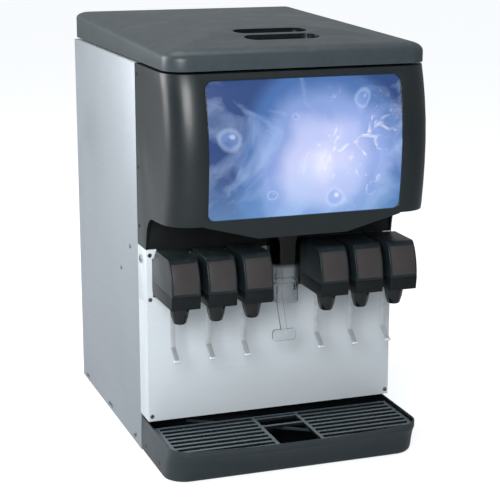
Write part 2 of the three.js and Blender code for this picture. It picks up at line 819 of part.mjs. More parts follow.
function dripTray() {
  const rings = TRAY_LEVELS.map(([z, back, bow, half]) =>
    level(bowedOutline(half, RIM.front + back, TRAY_REAR, RIM.corner, bow), z),
  );
  const ledge = REST_TOP - REST_THICK - GAP;
  const upper = trayInside(TRAY_WALL, TRAY_WALL, [ledge, RIM.z + PAST]);
  const middle = trayInside(12, 18, [50, ledge + 1]);
  const lower = trayInside(12, 30, [TRAY_FLOOR, 51]);
  const sumpFront = TRAY_REAR - DRAIN.sump;
  const drain = bar("y", DRAIN.neck + GAP, [sumpFront, TRAY_REAR + PAST], DRAIN.at);
  const rib = block([-62, 62], [-2, 2], [TRAY_FLOOR - 1, TRAY_FLOOR + 6])
    .rotate(0, 0, -32)
    .translate(0, -300, 0);
  const sump = block([-14, 14], [sumpFront, TRAY_REAR - 12], [TRAY_FLOOR - 12, TRAY_FLOOR + 1]);
  return cut(join(cut(loft(rings), upper, middle, lower), rib), sump, drain);
}

function drainFitting() {
  return cut(
    join(
      bar("y", DRAIN.neck, [TRAY_REAR - 18, DRAIN.end], DRAIN.at),
      bar("y", DRAIN.neck + 1.2, [DRAIN.end - 7, DRAIN.end - 3], DRAIN.at),
      bar("y", DRAIN.collar, [TRAY_REAR + 2 * GAP, TRAY_REAR + 4], DRAIN.at, 6),
    ),
    bar("y", DRAIN.bore, [TRAY_REAR - PAST, DRAIN.end + 5], DRAIN.at),
  );
}

function cupRest() {
  const height = [REST_TOP - REST_THICK, REST_TOP];
  const through = [height[0] - PAST, height[1] + PAST];
  const half = RIM.half - REST_INSET;
  const front = RIM.front + REST_INSET;
  const corner = RIM.corner - REST_INSET;
  const outline = (inset) =>
    shapeOf(bowedOutline(half - inset, front + inset, REST_REAR - inset, corner - inset, RIM.bow));
  const plate = alongZ(outline(0), height);
  const field = alongZ(outline(REST_FRAME), through);
  const bars = 8;
  const rows = Array.from({ length: 9 }, (_, i) => {
    const far = REST_REAR - REST_FRAME - i * REST_PITCH;
    return [far - REST_PITCH + bars, far];
  });
  const outward = [REST_DIVIDER + 4, half];
  const slots = rows.flatMap((row) => pair(outward, row, through));
  const across = [-REST_DIVIDER + 4, REST_DIVIDER - 4];
  const middle = [
    block(across, [-228, -222], through),
    block(across, [-273, -236], through),
    block(across, [-420, -281], through),
  ];
  const ties = [108, 206].flatMap((x) =>
    pair([x, x + 4], [front, REST_REAR - 2], [height[0], height[0] + 3]),
  );
  const openings = join(...slots, ...middle).intersect(field);
  return join(cut(plate, openings), ...ties);
}

// ---------------------------------------------------------------- ice bin and drive

const binSide = (grow) =>
  shapeOf([
    [BIN.front - grow, BIN.top],
    [BIN.front - grow, BIN.floor - grow],
    [BIN.flat, BIN.floor - grow],
    [BIN.rear + grow, BIN.rise - grow],
    [BIN.rear + grow, BIN.top],
  ]);

function iceBin() {
  const inner = -BIN.wall;
  const hollow = shapeOf([
    [BIN.front - inner, BIN.top + PAST],
    [BIN.front - inner, BIN.floor - inner],
    [BIN.flat, BIN.floor - inner],
    [BIN.rear + inner, BIN.rise - inner],
    [BIN.rear + inner, BIN.top + PAST],
  ]);
  const lipHalf = HALF_WIDTH - SHEET - 2;
  const lip = block([-lipHalf, lipHalf], [BIN.front - 8, BIN.rear + 60], [BIN.top, BIN.top + BIN_LIP]);
  const lugs = pair(
    GATE_EARS,
    [BIN.front - 10, BIN.front + 1],
    [GATE_PIVOT[1] - 8, GATE_PIVOT[1] + 7],
  );
  const guides = [560, 660].map((z) =>
    block([CRANK_X[0] - 4, CRANK_X[1] + 4], [PUSHROD.y - 6, BIN.front + 1], [z, z + 6]),
  );
  const rodHole = bar("z", PUSHROD.radius + 0.8, [BIN.floor, 740], [PUSHROD.x, PUSHROD.y]);
  const shaftHole = bar("y", WHEEL.shaft + 2, [BIN.rear - PAST, BIN.rear + PAST], [0, WHEEL.z]);
  const outlet = block(
    [-OUTLET.half, OUTLET.half],
    [BIN.front - 5, BIN.front + PAST],
    [OUTLET.low, OUTLET.high],
  );
  const gateBore = bar("x", ICE_SHAFT + GAP, [-60, 60], GATE_PIVOT);
  return cut(
    join(alongX(binSide(0), [-BIN.half, BIN.half]), lip, ...lugs, ...guides),
    alongX(hollow, [-BIN.half + BIN.wall, BIN.half - BIN.wall]),
    rodHole,
    shaftHole,
    outlet,
    gateBore,
  );
}

// Foam round the sides, the rear and the underside of the bin, with a pocket for the cold plate.
function insulation() {
  const outer = block(
    [-HALF_WIDTH + FLANGE - 8, HALF_WIDTH - FLANGE + 8],
    [BIN.front, BIN.rear + FOAM_BEHIND],
    [BIN.floor - FOAM_BELOW, BIN.top - GAP],
  );
  const platePocket = block(
    [-COLD_PLATE.half - 1, COLD_PLATE.half + 1],
    [BIN.front - PAST, COLD_PLATE.rear + 1],
    [COLD_PLATE.low - 1, BIN.floor],
  );
  const grown = alongX(binSide(GAP), [-BIN.half - GAP, BIN.half + GAP]);
  const mouth = block(
    [-BIN.half, BIN.half],
    [BIN.front - PAST, BIN.front + 2],
    [BIN.floor, BIN.top + 1],
  );
  const shaftHole = bar("y", WHEEL.shaft + 3, [BIN.rear - PAST, BIN.rear + 2 * PAST], [0, WHEEL.z]);
  return cut(outer, grown, mouth, platePocket, shaftHole);
}

// A cast slab with the ends of its product lines along the front.
function coldPlate() {
  const { half, front, rear, low, high } = COLD_PLATE;
  const middle = (low + high) / 2;
  const lines = Array.from({ length: 14 }, (_, i) =>
    bar("y", 4, [front - 18, front + 1], [-195 + i * 30, middle], 8),
  );
  return join(block([-half, half], [front, rear], [low, high]), ...lines);
}

function gearmotor() {
  const face = BIN.rear + FOAM_BEHIND + GAP;
  const box = { half: 45, deep: 46, halfHigh: 42 };
  const motorEnd = 130;
  const middle = face + 24;
  const gearbox = block(
    [-box.half, box.half],
    [face, face + box.deep],
    [WHEEL.z - box.halfHigh, WHEEL.z + box.halfHigh],
  );
  const motor = bar("x", 22, [box.half - 1, motorEnd], [middle, WHEEL.z]);
  const endCap = bar("x", 15, [motorEnd - 1, motorEnd + 8], [middle, WHEEL.z]);
  const socket = bar("y", WHEEL.shaft + GAP, [face - PAST, face + 30], [0, WHEEL.z]);
  return cut(join(gearbox, motor, endCap), socket);
}

const agitatorBearing = () =>
  cut(
    join(
      bar("y", 16, BEARING, [0, WHEEL.z]),
      bar("y", 26, [BEARING[0], BEARING[0] + 4], [0, WHEEL.z]),
    ),
    bar("y", WHEEL.shaft + GAP, [BEARING[0] + 5, -100], [0, WHEEL.z]),
  );

// A shaft the length of the bin, a wheel of six paddles at the outlet, and two stirring bars.
function agitator() {
  const shaft = bar("y", WHEEL.shaft, [BEARING[0] + 6, BIN.rear + 40], [0, WHEEL.z]);
  const hub = bar("y", WHEEL.hub, [WHEEL.front, WHEEL.rear], [0, WHEEL.z]);
  const paddles = Array.from({ length: 3 }, (_, i) =>
    block([-WHEEL.radius, WHEEL.radius], [WHEEL.front, WHEEL.rear], [-5, 5])
      .rotate(0, i * 60, 0)
      .translate(0, 0, WHEEL.z),
  );
  const stirrers = [
    [90, 80, 0],
    [180, 62, 90],
  ].map(([y, reach, turn]) =>
    bar("z", 6, [-reach, reach], [0, y], 12).rotate(0, turn, 0).translate(0, 0, WHEEL.z),
  );
  return join(shaft, hub, ...paddles, ...stirrers);
}

// ---------------------------------------------------------------- ice chute, gate and lever

// A duct outline seen from above, flat behind and rounded in front.
function ductOutline(half, front, rear, radius) {
  return shapeOf([
    [half, rear],
    [-half, rear],
    ...arc([-half + radius, front + radius], radius, 180, 270, 5),
    ...arc([half - radius, front + radius], radius, 270, 360, 5),
  ]);
}

function iceChute() {
  const { half, front, rear, top, step, wall } = CHUTE;
  const mouth = BIN.front - 11;
  const channel = (drop, lift) =>
    shapeOf([
      [mouth + lift, 684 + drop],
      [mouth + lift, top + lift],
      [rear - 10, top + lift],
      [rear - 10, 618 + drop],
      [rear, 618 + drop],
    ]);
  const outer = join(
    alongZ(ductOutline(half, front, rear, 22), [step, top]),
    alongZ(ductOutline(SPOUT.half, SPOUT.front, SPOUT.rear, 20), [SPOUT.bottom, step + 1]),
    alongX(channel(0, 0), [-half, half]),
    block(
      [-CHUTE_FLANGE.half, CHUTE_FLANGE.half],
      [LEG_FRONT - 0.5, INNER_PANEL[0] - GAP],
      CHUTE_FLANGE.height,
    ),
  );
  return cut(
    outer,
    alongZ(ductOutline(half - wall, front + wall, rear - wall, 20), [step + wall, top + PAST]),
    alongZ(ductOutline(SPOUT.half - wall, SPOUT.front + wall, SPOUT.rear - wall, 18), [
      SPOUT.bottom - PAST,
      step + PAST,
    ]),
    alongX(channel(wall, PAST), [-half + wall, half - wall]),
  );
}

// The flap over the bin's outlet, on a shaft with a short crank in front of it.
function iceGate() {
  const [y, z] = GATE_PIVOT;
  return join(
    block([-GATE.half, GATE.half], [GATE.front, GATE.rear], [GATE.low, z]),
    bar("x", ICE_SHAFT, [GATE_SHAFT_END, CRANK_X[1]], GATE_PIVOT),
    block(CRANK_X, [PUSHROD.y - 3, y], [z - 3, z + 3]),
  );
}

// A rod that stands on the lever's crank and holds the gate's crank up.
function gatePushrod() {
  const height = [ICE_PIVOT[1] + PUSHROD.rest, GATE_PIVOT[1] - PUSHROD.rest];
  return bar("z", PUSHROD.radius, height, [PUSHROD.x, PUSHROD.y], 12);
}

const iceLeverShaft = () =>
  join(
    bar("x", ICE_SHAFT, [-28, CRANK_X[1]], ICE_PIVOT),
    block(CRANK_X, [ICE_PIVOT[0], PUSHROD.y + 4], [ICE_PIVOT[1] - 3, ICE_PIVOT[1] + 3]),
  );

function iceLeverBracket() {
  const [y, z] = ICE_PIVOT;
  const plate = [INNER_PANEL[0] - GAP - 3, INNER_PANEL[0] - GAP];
  return cut(
    join(
      block([-32, 32], plate, [z - 18, z + 22]),
      ...pair([20, 24], [y - 7, plate[0] + 1], [z - 8, z + 8]),
    ),
    bar("x", ICE_SHAFT + GAP, [-60, 60], ICE_PIVOT),
  );
}

// A clear stem that hangs behind the chute and ends in a wide paddle.
function iceLever() {
  const [y, z] = ICE_PIVOT;
  const half = 7;
  const stem = shapeOf([
    [y - 2, z],
    [-252, 350],
    [-284, 284],
    [-280, 282],
    [-248, 349],
    [y + 2, z],
  ]);
  const paddle = alongY(roundedRectangle([-26.5, 26.5], [262, 287], 8), [-284, -280]);
  return cut(
    join(alongX(stem, [-half, half]), bar("x", 7, [-half, half], ICE_PIVOT), paddle),
    bar("x", ICE_SHAFT + GAP, [-60, 60], ICE_PIVOT),
  );
}

// ---------------------------------------------------------------- everything in place

add("base_pan", basePan(), STAINLESS);
add("side_panel_left", sidePanel(-1), STAINLESS);
add("side_panel_right", sidePanel(1), STAINLESS);
add("rear_panel", rearPanel(), STAINLESS);
add("cord_gland", cordGland(), BLACK);
add("splash_panel", splashPanel(), STAINLESS);
add("valve_panel", valvePanel(), STAINLESS);
add("inner_panel", innerPanel(), BLACK);
add("key_switch_body", keySwitchBody(), STEEL);
add("key_cylinder", keyCylinder(), STEEL);

add("bonnet", bonnet(), SLATE);
add("display_panel", displayPanel(), DISPLAY);
add("display_bezel", displayBezel(), GREY);
add("lamp_housing", lampHousing(), WHITE);
add("lamp_tubes", lampTubes(), WHITE);
add("electrical_box", electricalBox(), GREY);

add("lid", lid(), SLATE);
for (const [side, x] of [
  ["left", -HINGE.x],
  ["right", HINGE.x],
]) {
  add(`hinge_bracket_${side}`, hingeBracket(x), STEEL);
  add(`hinge_pin_${side}`, hingePin(x), STEEL);
}

VALVE_CENTRES.forEach((x, i) => {
  const number = i + 1;
  add(`valve_body_${number}`, valveBody(x), BLACK);
  add(`valve_cover_${number}`, valveCover(x), SLATE);
  add(`valve_nozzle_${number}`, nozzle(x), GLOSS_BLACK);
  add(`valve_lever_${number}`, valveLever(x), STEEL);
});

add("drip_tray", dripTray(), SLATE);
add("drain_fitting", drainFitting(), GREY);
add("cup_rest", cupRest(), BLACK);

add("ice_bin", iceBin(), WHITE);
add("insulation", insulation(), FOAM);
add("cold_plate", coldPlate(), CAST_ALUMINIUM);
add("gearmotor", gearmotor(), GREY);
add("agitator_bearing", agitatorBearing(), WHITE);
add("agitator", agitator(), WHITE);

add("ice_chute", iceChute(), CLEAR);
add("ice_gate", iceGate(), STEEL);
add("gate_pushrod", gatePushrod(), STEEL);
add("ice_lever_bracket", iceLeverBracket(), STEEL);
add("ice_lever_shaft", iceLeverShaft(), STEEL);
add("ice_lever", iceLever(), CLEAR);

export default dispenser;
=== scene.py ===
# %% [markdown]
# # A counter-top ice and fountain-drink dispenser
# This lesson dresses a finished mechanical model. The model is loaded as a fixed frame: its bodies,
# joints and sizes are settled, and every visible piece is made to fit it.
# Each step says what the piece is on the real machine, how it could be made, and why this way.

# %% Load the frame
import math

import bpy
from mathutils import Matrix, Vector


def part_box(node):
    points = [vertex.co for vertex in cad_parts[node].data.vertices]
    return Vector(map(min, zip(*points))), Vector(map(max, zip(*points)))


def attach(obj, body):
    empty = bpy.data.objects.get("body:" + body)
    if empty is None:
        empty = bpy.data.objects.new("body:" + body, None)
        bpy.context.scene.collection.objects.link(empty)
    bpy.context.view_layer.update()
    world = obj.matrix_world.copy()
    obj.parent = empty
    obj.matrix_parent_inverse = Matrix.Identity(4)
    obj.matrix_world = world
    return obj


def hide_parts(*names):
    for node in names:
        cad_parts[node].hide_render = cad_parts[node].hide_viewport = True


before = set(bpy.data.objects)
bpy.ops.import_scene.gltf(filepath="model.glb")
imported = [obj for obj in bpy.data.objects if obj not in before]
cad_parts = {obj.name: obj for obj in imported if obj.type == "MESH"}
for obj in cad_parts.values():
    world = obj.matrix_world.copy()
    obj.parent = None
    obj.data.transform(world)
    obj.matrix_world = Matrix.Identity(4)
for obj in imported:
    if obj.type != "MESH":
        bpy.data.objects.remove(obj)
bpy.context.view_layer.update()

# %% [markdown]
# ## Working in millimetres
# Blender's unit here is the metre, and drawings of sheet metal and mouldings are in millimetres.
# One small function turns a drawing's point into a scene's point, and `corners` reads a node's box
# back in millimetres, so that sizes come from the frame and aren't typed twice.

# %% Units
MM = 0.001


def mm(x, y, z):
    return Vector((x, y, z)) * MM


def corners(node):
    low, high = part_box(node)
    return low / MM, high / MM


bonnet_low, bonnet_high = corners("bonnet")
lid_low, lid_high = corners("lid")
splash_low, splash_high = corners("splash_panel")
print("bonnet front", round(bonnet_low.y), "lid top", round(lid_high.z))

# %% [markdown]
# ## Hands for modelling
# An operator acts on whatever is selected. So each helper first clears the selection and takes hold
# of one piece. `pick` then selects faces, edges or points of it by their place or their direction,
# which is how a modeller would click them, and leaves the piece in edit mode.

# %% Take hold of a piece
def let_go():
    if bpy.context.object and bpy.context.object.mode != "OBJECT":
        bpy.ops.object.mode_set(mode="OBJECT")
    bpy.ops.object.select_all(action="DESELECT")


def hold(piece):
    let_go()
    piece.select_set(True)
    bpy.context.view_layer.objects.active = piece
    return piece


def settle(piece):
    hold(piece)
    bpy.ops.object.transform_apply(location=True, rotation=True, scale=True)
    return piece


# %% Pick parts of a piece
def pick(piece, kind, wanted):
    hold(piece)
    mesh = piece.data
    for parts in (mesh.vertices, mesh.edges, mesh.polygons):
        parts.foreach_set("select", [False] * len(parts))
    if kind == "VERT":
        chosen = [v for v in mesh.vertices if wanted(v.co / MM)]
    elif kind == "EDGE":
        ends = [[mesh.vertices[i].co / MM for i in e.vertices] for e in mesh.edges]
        chosen = [e for e, (a, b) in zip(mesh.edges, ends) if wanted((a + b) / 2, (b - a).normalized())]
    else:
        chosen = [f for f in mesh.polygons if wanted(f.center / MM, f.normal)]
    for part in chosen:
        part.select = True
    bpy.ops.object.mode_set(mode="EDIT")
    bpy.ops.mesh.select_mode(type=kind)
    return len(chosen)


def pick_all(piece):
    hold(piece)
    bpy.ops.object.mode_set(mode="EDIT")
    bpy.ops.mesh.select_all(action="SELECT")


# %% [markdown]
# ## Primitives at their size and place
# A block between two corners and a round bar along an axis are where most pieces start.

# %% Starting shapes
def block(name, low, high):
    let_go()
    low, high = mm(*low), mm(*high)
    bpy.ops.mesh.primitive_cube_add(size=1, location=(low + high) / 2, scale=high - low)
    piece = bpy.context.object
    piece.name = name
    return settle(piece)


TURNS = {"x": (0, math.pi / 2, 0), "y": (-math.pi / 2, 0, 0), "z": (0, 0, 0)}


def rod(name, axis, radius, start, length, sides=32):
    """A round bar that runs from the point start along an axis, backwards where length is negative."""
    let_go()
    along = {"x": Vector((1, 0, 0)), "y": Vector((0, 1, 0)), "z": Vector((0, 0, 1))}[axis]
    bpy.ops.mesh.primitive_cylinder_add(
        vertices=sides,
        radius=radius * MM,
        depth=abs(length) * MM,
        location=mm(*start) + along * length * MM / 2,
        rotation=TURNS[axis],
    )
    piece = bpy.context.object
    piece.name = name
    return settle(piece)


# %% Edit-mode moves in millimetres
def push(x, y, z):
    bpy.ops.mesh.extrude_region_move(TRANSFORM_OT_translate={"value": mm(x, y, z)})


def shift(x, y, z):
    bpy.ops.transform.translate(value=mm(x, y, z))


def grow(x, y, z, centre):
    bpy.ops.transform.resize(value=(x, y, z), center_override=mm(*centre))


def inset(width, depth=0):
    bpy.ops.mesh.inset(thickness=width * MM, depth=depth * MM, use_even_offset=True)


def round_edges(width, segments):
    bpy.ops.mesh.bevel(offset=width * MM, segments=segments, affect="EDGES", clamp_overlap=True)


# %% [markdown]
# ## Modifiers that soften an edge or take a shape away
# No real edge is perfectly sharp. A narrow bevel catches the light as a moulding's or a sheet's edge
# does, and a boolean takes one form out of another. Each modifier is applied at once, so that the mesh
# itself holds the shape.

# %% Bevel, carve and join
def apply_all(piece):
    hold(piece)
    for modifier in list(piece.modifiers):
        bpy.ops.object.modifier_apply(modifier=modifier.name)
    return piece


def soften(piece, width, segments=2, angle=35):
    bevel = piece.modifiers.new("edge", "BEVEL")
    bevel.width = width * MM
    bevel.segments = segments
    bevel.limit_method = "ANGLE"
    bevel.angle_limit = math.radians(angle)
    return apply_all(piece)


def carve(piece, tool):
    """Takes a tool's shape out of a piece and throws the tool away."""
    cut = piece.modifiers.new("cut", "BOOLEAN")
    cut.operation = "DIFFERENCE"
    cut.solver = "EXACT"
    cut.object = tool
    apply_all(piece)
    bpy.data.objects.remove(tool)
    return piece


def joined(name, pieces):
    hold(pieces[0])
    for piece in pieces:
        piece.select_set(True)
    if len(pieces) > 1:
        bpy.ops.object.join()
    pieces[0].name = name
    return pieces[0]


def twin(piece, name, x=0, y=0, z=0):
    """A copy with its own mesh, moved by a step."""
    copy = piece.copy()
    copy.data = piece.data.copy()
    copy.name = name
    bpy.context.scene.collection.objects.link(copy)
    for vertex in copy.data.vertices:
        vertex.co += mm(x, y, z)
    return copy


# %% [markdown]
# ## A fine copy of a frame node
# The frame's nodes have the right shape with knife-sharp edges, and their triangles are loose. A copy
# is merged, its flat faces are joined up again, and its edges are rounded. The piece then stands for
# the node, which stays in the frame for collision.

# %% Refine a node
MERGE = 0.01 * MM


def fine(node, name, edge, segments=2, flat=1.0):
    piece = bpy.data.objects.new(name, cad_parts[node].data.copy())
    bpy.context.scene.collection.objects.link(piece)
    pick_all(piece)
    bpy.ops.mesh.remove_doubles(threshold=MERGE)
    bpy.ops.mesh.dissolve_limited(angle_limit=math.radians(flat))
    bpy.ops.object.mode_set(mode="OBJECT")
    piece.data.materials.clear()
    return soften(piece, edge, segments)


# %% [markdown]
# ## Handing a piece over
# A finished piece gets smooth shading that stops at real edges, its finish, the body it moves with
# and the slot it takes its paint from.

# %% Finish a piece
SMOOTH_BELOW = math.radians(38)


def hand_over(piece, paint, body, stands_for=(), outwards=False):
    pick_all(piece)
    if outwards:
        bpy.ops.mesh.normals_make_consistent(inside=False)
    bpy.ops.object.mode_set(mode="OBJECT")
    bpy.ops.object.shade_smooth_by_angle(angle=SMOOTH_BELOW)
    piece.data.materials.clear()
    piece.data.materials.append(paint)
    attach(piece, body)
    if stands_for:
        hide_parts(*stands_for)
    print(f"{piece.name}: {len(piece.data.polygons)} faces, on {body}")
    return piece


# %% [markdown]
# ### Two finishes on one piece
# Some pieces look different in one place, such as the inside of the tray, painted black as shade, or the tip
# of a lever, painted bright as a highlight. Cutting the piece in two would leave a false seam. So the faces
# of that place are picked out, and they get a second finish while the piece stays whole.

# %% A second finish on some faces
def also_paint(piece, paint, wanted):
    """Gives the faces that pass a test, on place and normal, a finish of their own."""
    piece.data.materials.append(paint)
    for face in piece.data.polygons:
        if wanted(face.center / MM, face.normal):
            face.material_index = len(piece.data.materials) - 1


# %% [markdown]
# ## Camera, floor and light
# The machine is seen from its left front, from a little above, through a long lens that keeps its
# uprights nearly parallel. The floor and the surroundings are plain and pale. A wide soft light at the
# left rear grazes the side and draws the long highlights on the mouldings, one at the left front lights
# the splash, and a weak one above shows the grain of the lid. The surroundings and the floor look white
# to the camera but light the machine less than white would, which keeps the mouldings dark.

# %% Camera
# Angles are in degrees, and the lens and the sensor's width in millimetres.
CAMERA_AT = mm(-1058.5, -3065.4, 1182.6)
CAMERA_YAW = 19.43
CAMERA_PITCH = 13.66
LENS = 105.4
SENSOR = 36

camera = bpy.data.objects.new("camera", bpy.data.cameras.new("camera"))
camera.data.lens = LENS
camera.data.sensor_width = SENSOR
camera.location = CAMERA_AT
camera.rotation_euler = (math.radians(90 - CAMERA_PITCH), 0, math.radians(-CAMERA_YAW))
bpy.context.scene.collection.objects.link(camera)
bpy.context.scene.camera = camera
print("camera at", [round(v, 2) for v in camera.location])

# %% Floor and surroundings
FLOOR_SIZE = 60
FLOOR_BELOW = 0.5  # millimetres under the machine, so that the two never lie in one plane
SKY_COLOR = (0.93, 0.965, 1.0, 1)
SKY_AS_LIGHT = 0.38
SKY_AS_SEEN = 1.02

let_go()
bpy.ops.mesh.primitive_plane_add(size=FLOOR_SIZE, location=mm(0, 0, -FLOOR_BELOW))
floor = bpy.context.object
floor.name = "floor"
settle(floor)

scene = bpy.context.scene
scene.view_settings.view_transform = "Standard"
scene.world = bpy.data.worlds.new("studio")
scene.world.use_nodes = True
sky_nodes = scene.world.node_tree
sky = sky_nodes.nodes["Background"]
sky.inputs["Color"].default_value = SKY_COLOR
seen = sky_nodes.nodes.new("ShaderNodeLightPath")
levels = sky_nodes.nodes.new("ShaderNodeMapRange")
levels.inputs["To Min"].default_value = SKY_AS_LIGHT
levels.inputs["To Max"].default_value = SKY_AS_SEEN
sky_nodes.links.new(seen.outputs["Is Camera Ray"], levels.inputs["Value"])
sky_nodes.links.new(levels.outputs["Result"], sky.inputs["Strength"])


# %% Soft lights
def softbox(name, at, aim, size, power):
    lamp = bpy.data.objects.new(name, bpy.data.lights.new(name, "AREA"))
    lamp.data.shape = "RECTANGLE"
    lamp.data.size, lamp.data.size_y = size
    lamp.data.energy = power
    lamp.location = at
    lamp.rotation_euler = (Vector(aim) - Vector(at)).to_track_quat("-Z", "Y").to_euler()
    scene.collection.objects.link(lamp)
    return lamp


softbox("rim_left", (-3.3, 2.1, 1.7), (0, 0.1, 0.55), (2.2, 2.6), 130)
softbox("key_front_left", (-1.9, -3.3, 1.9), (0, -0.2, 0.35), (1.8, 1.8), 128)
softbox("top", (-0.3, 0.6, 3.4), (0, 0.1, 0.5), (2.0, 2.0), 27)

# %% [markdown]
# ## Shared surface effects
# Grain, brushing, handling marks, dust and worn edges show on many finishes of the machine. Each is
# a node group with named inputs, built once. A group only puts out values that change over the
# surface, and each material decides what they do to its colour, roughness and relief.

# %% Building a node group
def effect(name, inputs, outputs):
    group = bpy.data.node_groups.new(name, "ShaderNodeTree")
    for label, value in inputs.items():
        socket = group.interface.new_socket(label, in_out="INPUT", socket_type="NodeSocketFloat")
        socket.default_value = value
    for label in outputs:
        group.interface.new_socket(label, in_out="OUTPUT", socket_type="NodeSocketFloat")
    return group, group.nodes.new("NodeGroupInput"), group.nodes.new("NodeGroupOutput")


def node(tree, kind, link=None, **settings):
    """Adds a node, sets its properties and sockets by name, and links sources to its sockets."""
    made = tree.nodes.new("ShaderNode" + kind)
    for key, value in settings.items():
        label = key.replace("_", " ").title()
        if label in made.inputs and not hasattr(made, key):
            made.inputs[label].default_value = value
        else:
            setattr(made, key, value)
    for socket, source in (link or {}).items():
        tree.links.new(source, made.inputs[socket])
    return made


def math_node(tree, operation, a, b=None, clamp=False):
    made = tree.nodes.new("ShaderNodeMath")
    made.operation = operation
    made.use_clamp = clamp
    for socket, value in zip(made.inputs, (a, b)):
        if isinstance(value, (int, float)):
            socket.default_value = value
        elif value is not None:
            tree.links.new(value, socket)
    return made.outputs[0]


def stretch(tree, vector, low, high):
    """Maps a value from low..high to 0..1."""
    made = tree.nodes.new("ShaderNodeMapRange")
    made.inputs["From Min"].default_value = low
    made.inputs["From Max"].default_value = high
    tree.links.new(vector, made.inputs["Value"])
    return made.outputs["Result"]


# %% [markdown]
# ### Moulded grain
# Injection-moulded covers have a fine spark-eroded texture, a leathery pattern of bumps well under a
# millimetre across. Two sizes of noise, one on cells, give that relief and a faint change of tone.

# %% Group: moulded grain
grain, grain_in, grain_out = effect("Moulded grain", {"Scale": 900.0}, ["Height", "Tone"])
place = node(grain, "TexCoord").outputs["Object"]
pits = node(grain, "TexVoronoi", {"Vector": place, "Scale": grain_in.outputs["Scale"]})
cloud = node(grain, "TexNoise", {"Vector": place}, scale=26.0, detail=5.0)
fine_noise = node(grain, "TexNoise", {"Vector": place, "Scale": grain_in.outputs["Scale"]}, detail=3.0)
relief = math_node(grain, "MULTIPLY", pits.outputs["Distance"], fine_noise.outputs[0])
grain.links.new(relief, grain_out.inputs["Height"])
grain.links.new(stretch(grain, cloud.outputs[0], 0.3, 0.7), grain_out.inputs["Tone"])

# %% [markdown]
# ### Brushed lines
# Sheet is brushed with an abrasive belt that runs along it, so the scratches are long in one direction
# and only hundredths of a millimetre apart in the other. Noise squeezed along the height does that, in
# two widths, and a broad cloud keeps a large panel from looking even.

# %% Group: brushed lines
brush, brush_in, brush_out = effect("Brushed lines", {"Fineness": 1.0}, ["Height", "Tone", "Cloud"])
place = node(brush, "TexCoord").outputs["Object"]
lines = []
for pitch in (2600.0, 700.0):
    squeeze = node(brush, "Mapping", {"Vector": place})
    squeeze.inputs["Scale"].default_value = (5.0, 5.0, pitch)
    streak = node(brush, "TexNoise", {"Vector": squeeze.outputs[0]}, detail=2.0)
    brush.links.new(brush_in.outputs["Fineness"], streak.inputs["Scale"])
    lines.append(streak.outputs[0])
both = math_node(brush, "MULTIPLY", math_node(brush, "ADD", lines[0], lines[1]), 0.5)
broad = node(brush, "TexNoise", {"Vector": place}, scale=4.0, detail=3.0)
brush.links.new(both, brush_out.inputs["Height"])
brush.links.new(stretch(brush, both, 0.38, 0.62), brush_out.inputs["Tone"])
brush.links.new(stretch(brush, broad.outputs[0], 0.35, 0.65), brush_out.inputs["Cloud"])

# %% [markdown]
# ### Handling marks, dust and worn edges
# Marks are soft blotches where hands and cloths have passed. Dust lies on what faces up. Wear shows
# where the surface turns sharply outwards, broken up by noise so that it isn't an even line.

# %% Groups: marks, dust and wear
marks, marks_in, marks_out = effect("Handling marks", {"Scale": 9.0}, ["Mask"])
place = node(marks, "TexCoord").outputs["Object"]
blotch = node(marks, "TexNoise", {"Vector": place, "Scale": marks_in.outputs["Scale"]}, detail=6.0)
marks.links.new(stretch(marks, blotch.outputs[0], 0.48, 0.72), marks_out.inputs["Mask"])

dust, dust_in, dust_out = effect("Settled dust", {"Amount": 0.3}, ["Mask"])
place = node(dust, "TexCoord").outputs["Object"]
facing = node(dust, "SeparateXYZ", {"Vector": node(dust, "NewGeometry").outputs["Normal"]})
specks = node(dust, "TexNoise", {"Vector": place}, scale=60.0, detail=8.0)
upward = stretch(dust, facing.outputs["Z"], 0.55, 1.0)
drift = math_node(dust, "MULTIPLY", upward, stretch(dust, specks.outputs[0], 0.4, 0.75))
dust.links.new(math_node(dust, "MULTIPLY", drift, dust_in.outputs["Amount"]), dust_out.inputs["Mask"])

wear, wear_in, wear_out = effect("Worn edges", {"Amount": 0.5}, ["Mask"])
place = node(wear, "TexCoord").outputs["Object"]
sharp = stretch(wear, node(wear, "NewGeometry").outputs["Pointiness"], 0.51, 0.62)
chips = node(wear, "TexNoise", {"Vector": place}, scale=120.0, detail=5.0)
broken = math_node(wear, "MULTIPLY", sharp, stretch(wear, chips.outputs[0], 0.35, 0.6))
wear.links.new(math_node(wear, "MULTIPLY", broken, wear_in.outputs["Amount"]), wear_out.inputs["Mask"])
print("effects:", [g.name for g in (grain, brush, marks, dust, wear)])

# %% [markdown]
# ## Finishes
# A finish starts from one Principled shader whose plain values are set on its own sockets. `use` puts
# an effect group in the material, `tint` mixes two colours by a mask, and `relief_from` turns a height
# into a bump.


# %% Helpers for a finish
def finish(name, **sockets):
    paint = bpy.data.materials.new(name)
    paint.use_nodes = True
    shader = paint.node_tree.nodes["Principled BSDF"]
    for key, value in sockets.items():
        shader.inputs[key.replace("_", " ").title().replace("Ior", "IOR")].default_value = value
    return paint, paint.node_tree, shader


def use(tree, group, **values):
    made = tree.nodes.new("ShaderNodeGroup")
    made.node_tree = group
    for key, value in values.items():
        made.inputs[key].default_value = value
    return made


def tint(tree, mask, base, other):
    mix = tree.nodes.new("ShaderNodeMix")
    mix.data_type = "RGBA"
    for socket, value in ((mix.inputs[6], base), (mix.inputs[7], other)):
        if isinstance(value, tuple):
            socket.default_value = (*value, 1)
        else:
            tree.links.new(value, socket)
    tree.links.new(mask, mix.inputs[0])
    return mix.outputs[2]


def between(tree, mask, low, high):
    made = tree.nodes.new("ShaderNodeMapRange")
    made.inputs["To Min"].default_value = low
    made.inputs["To Max"].default_value = high
    tree.links.new(mask, made.inputs["Value"])
    return made.outputs["Result"]


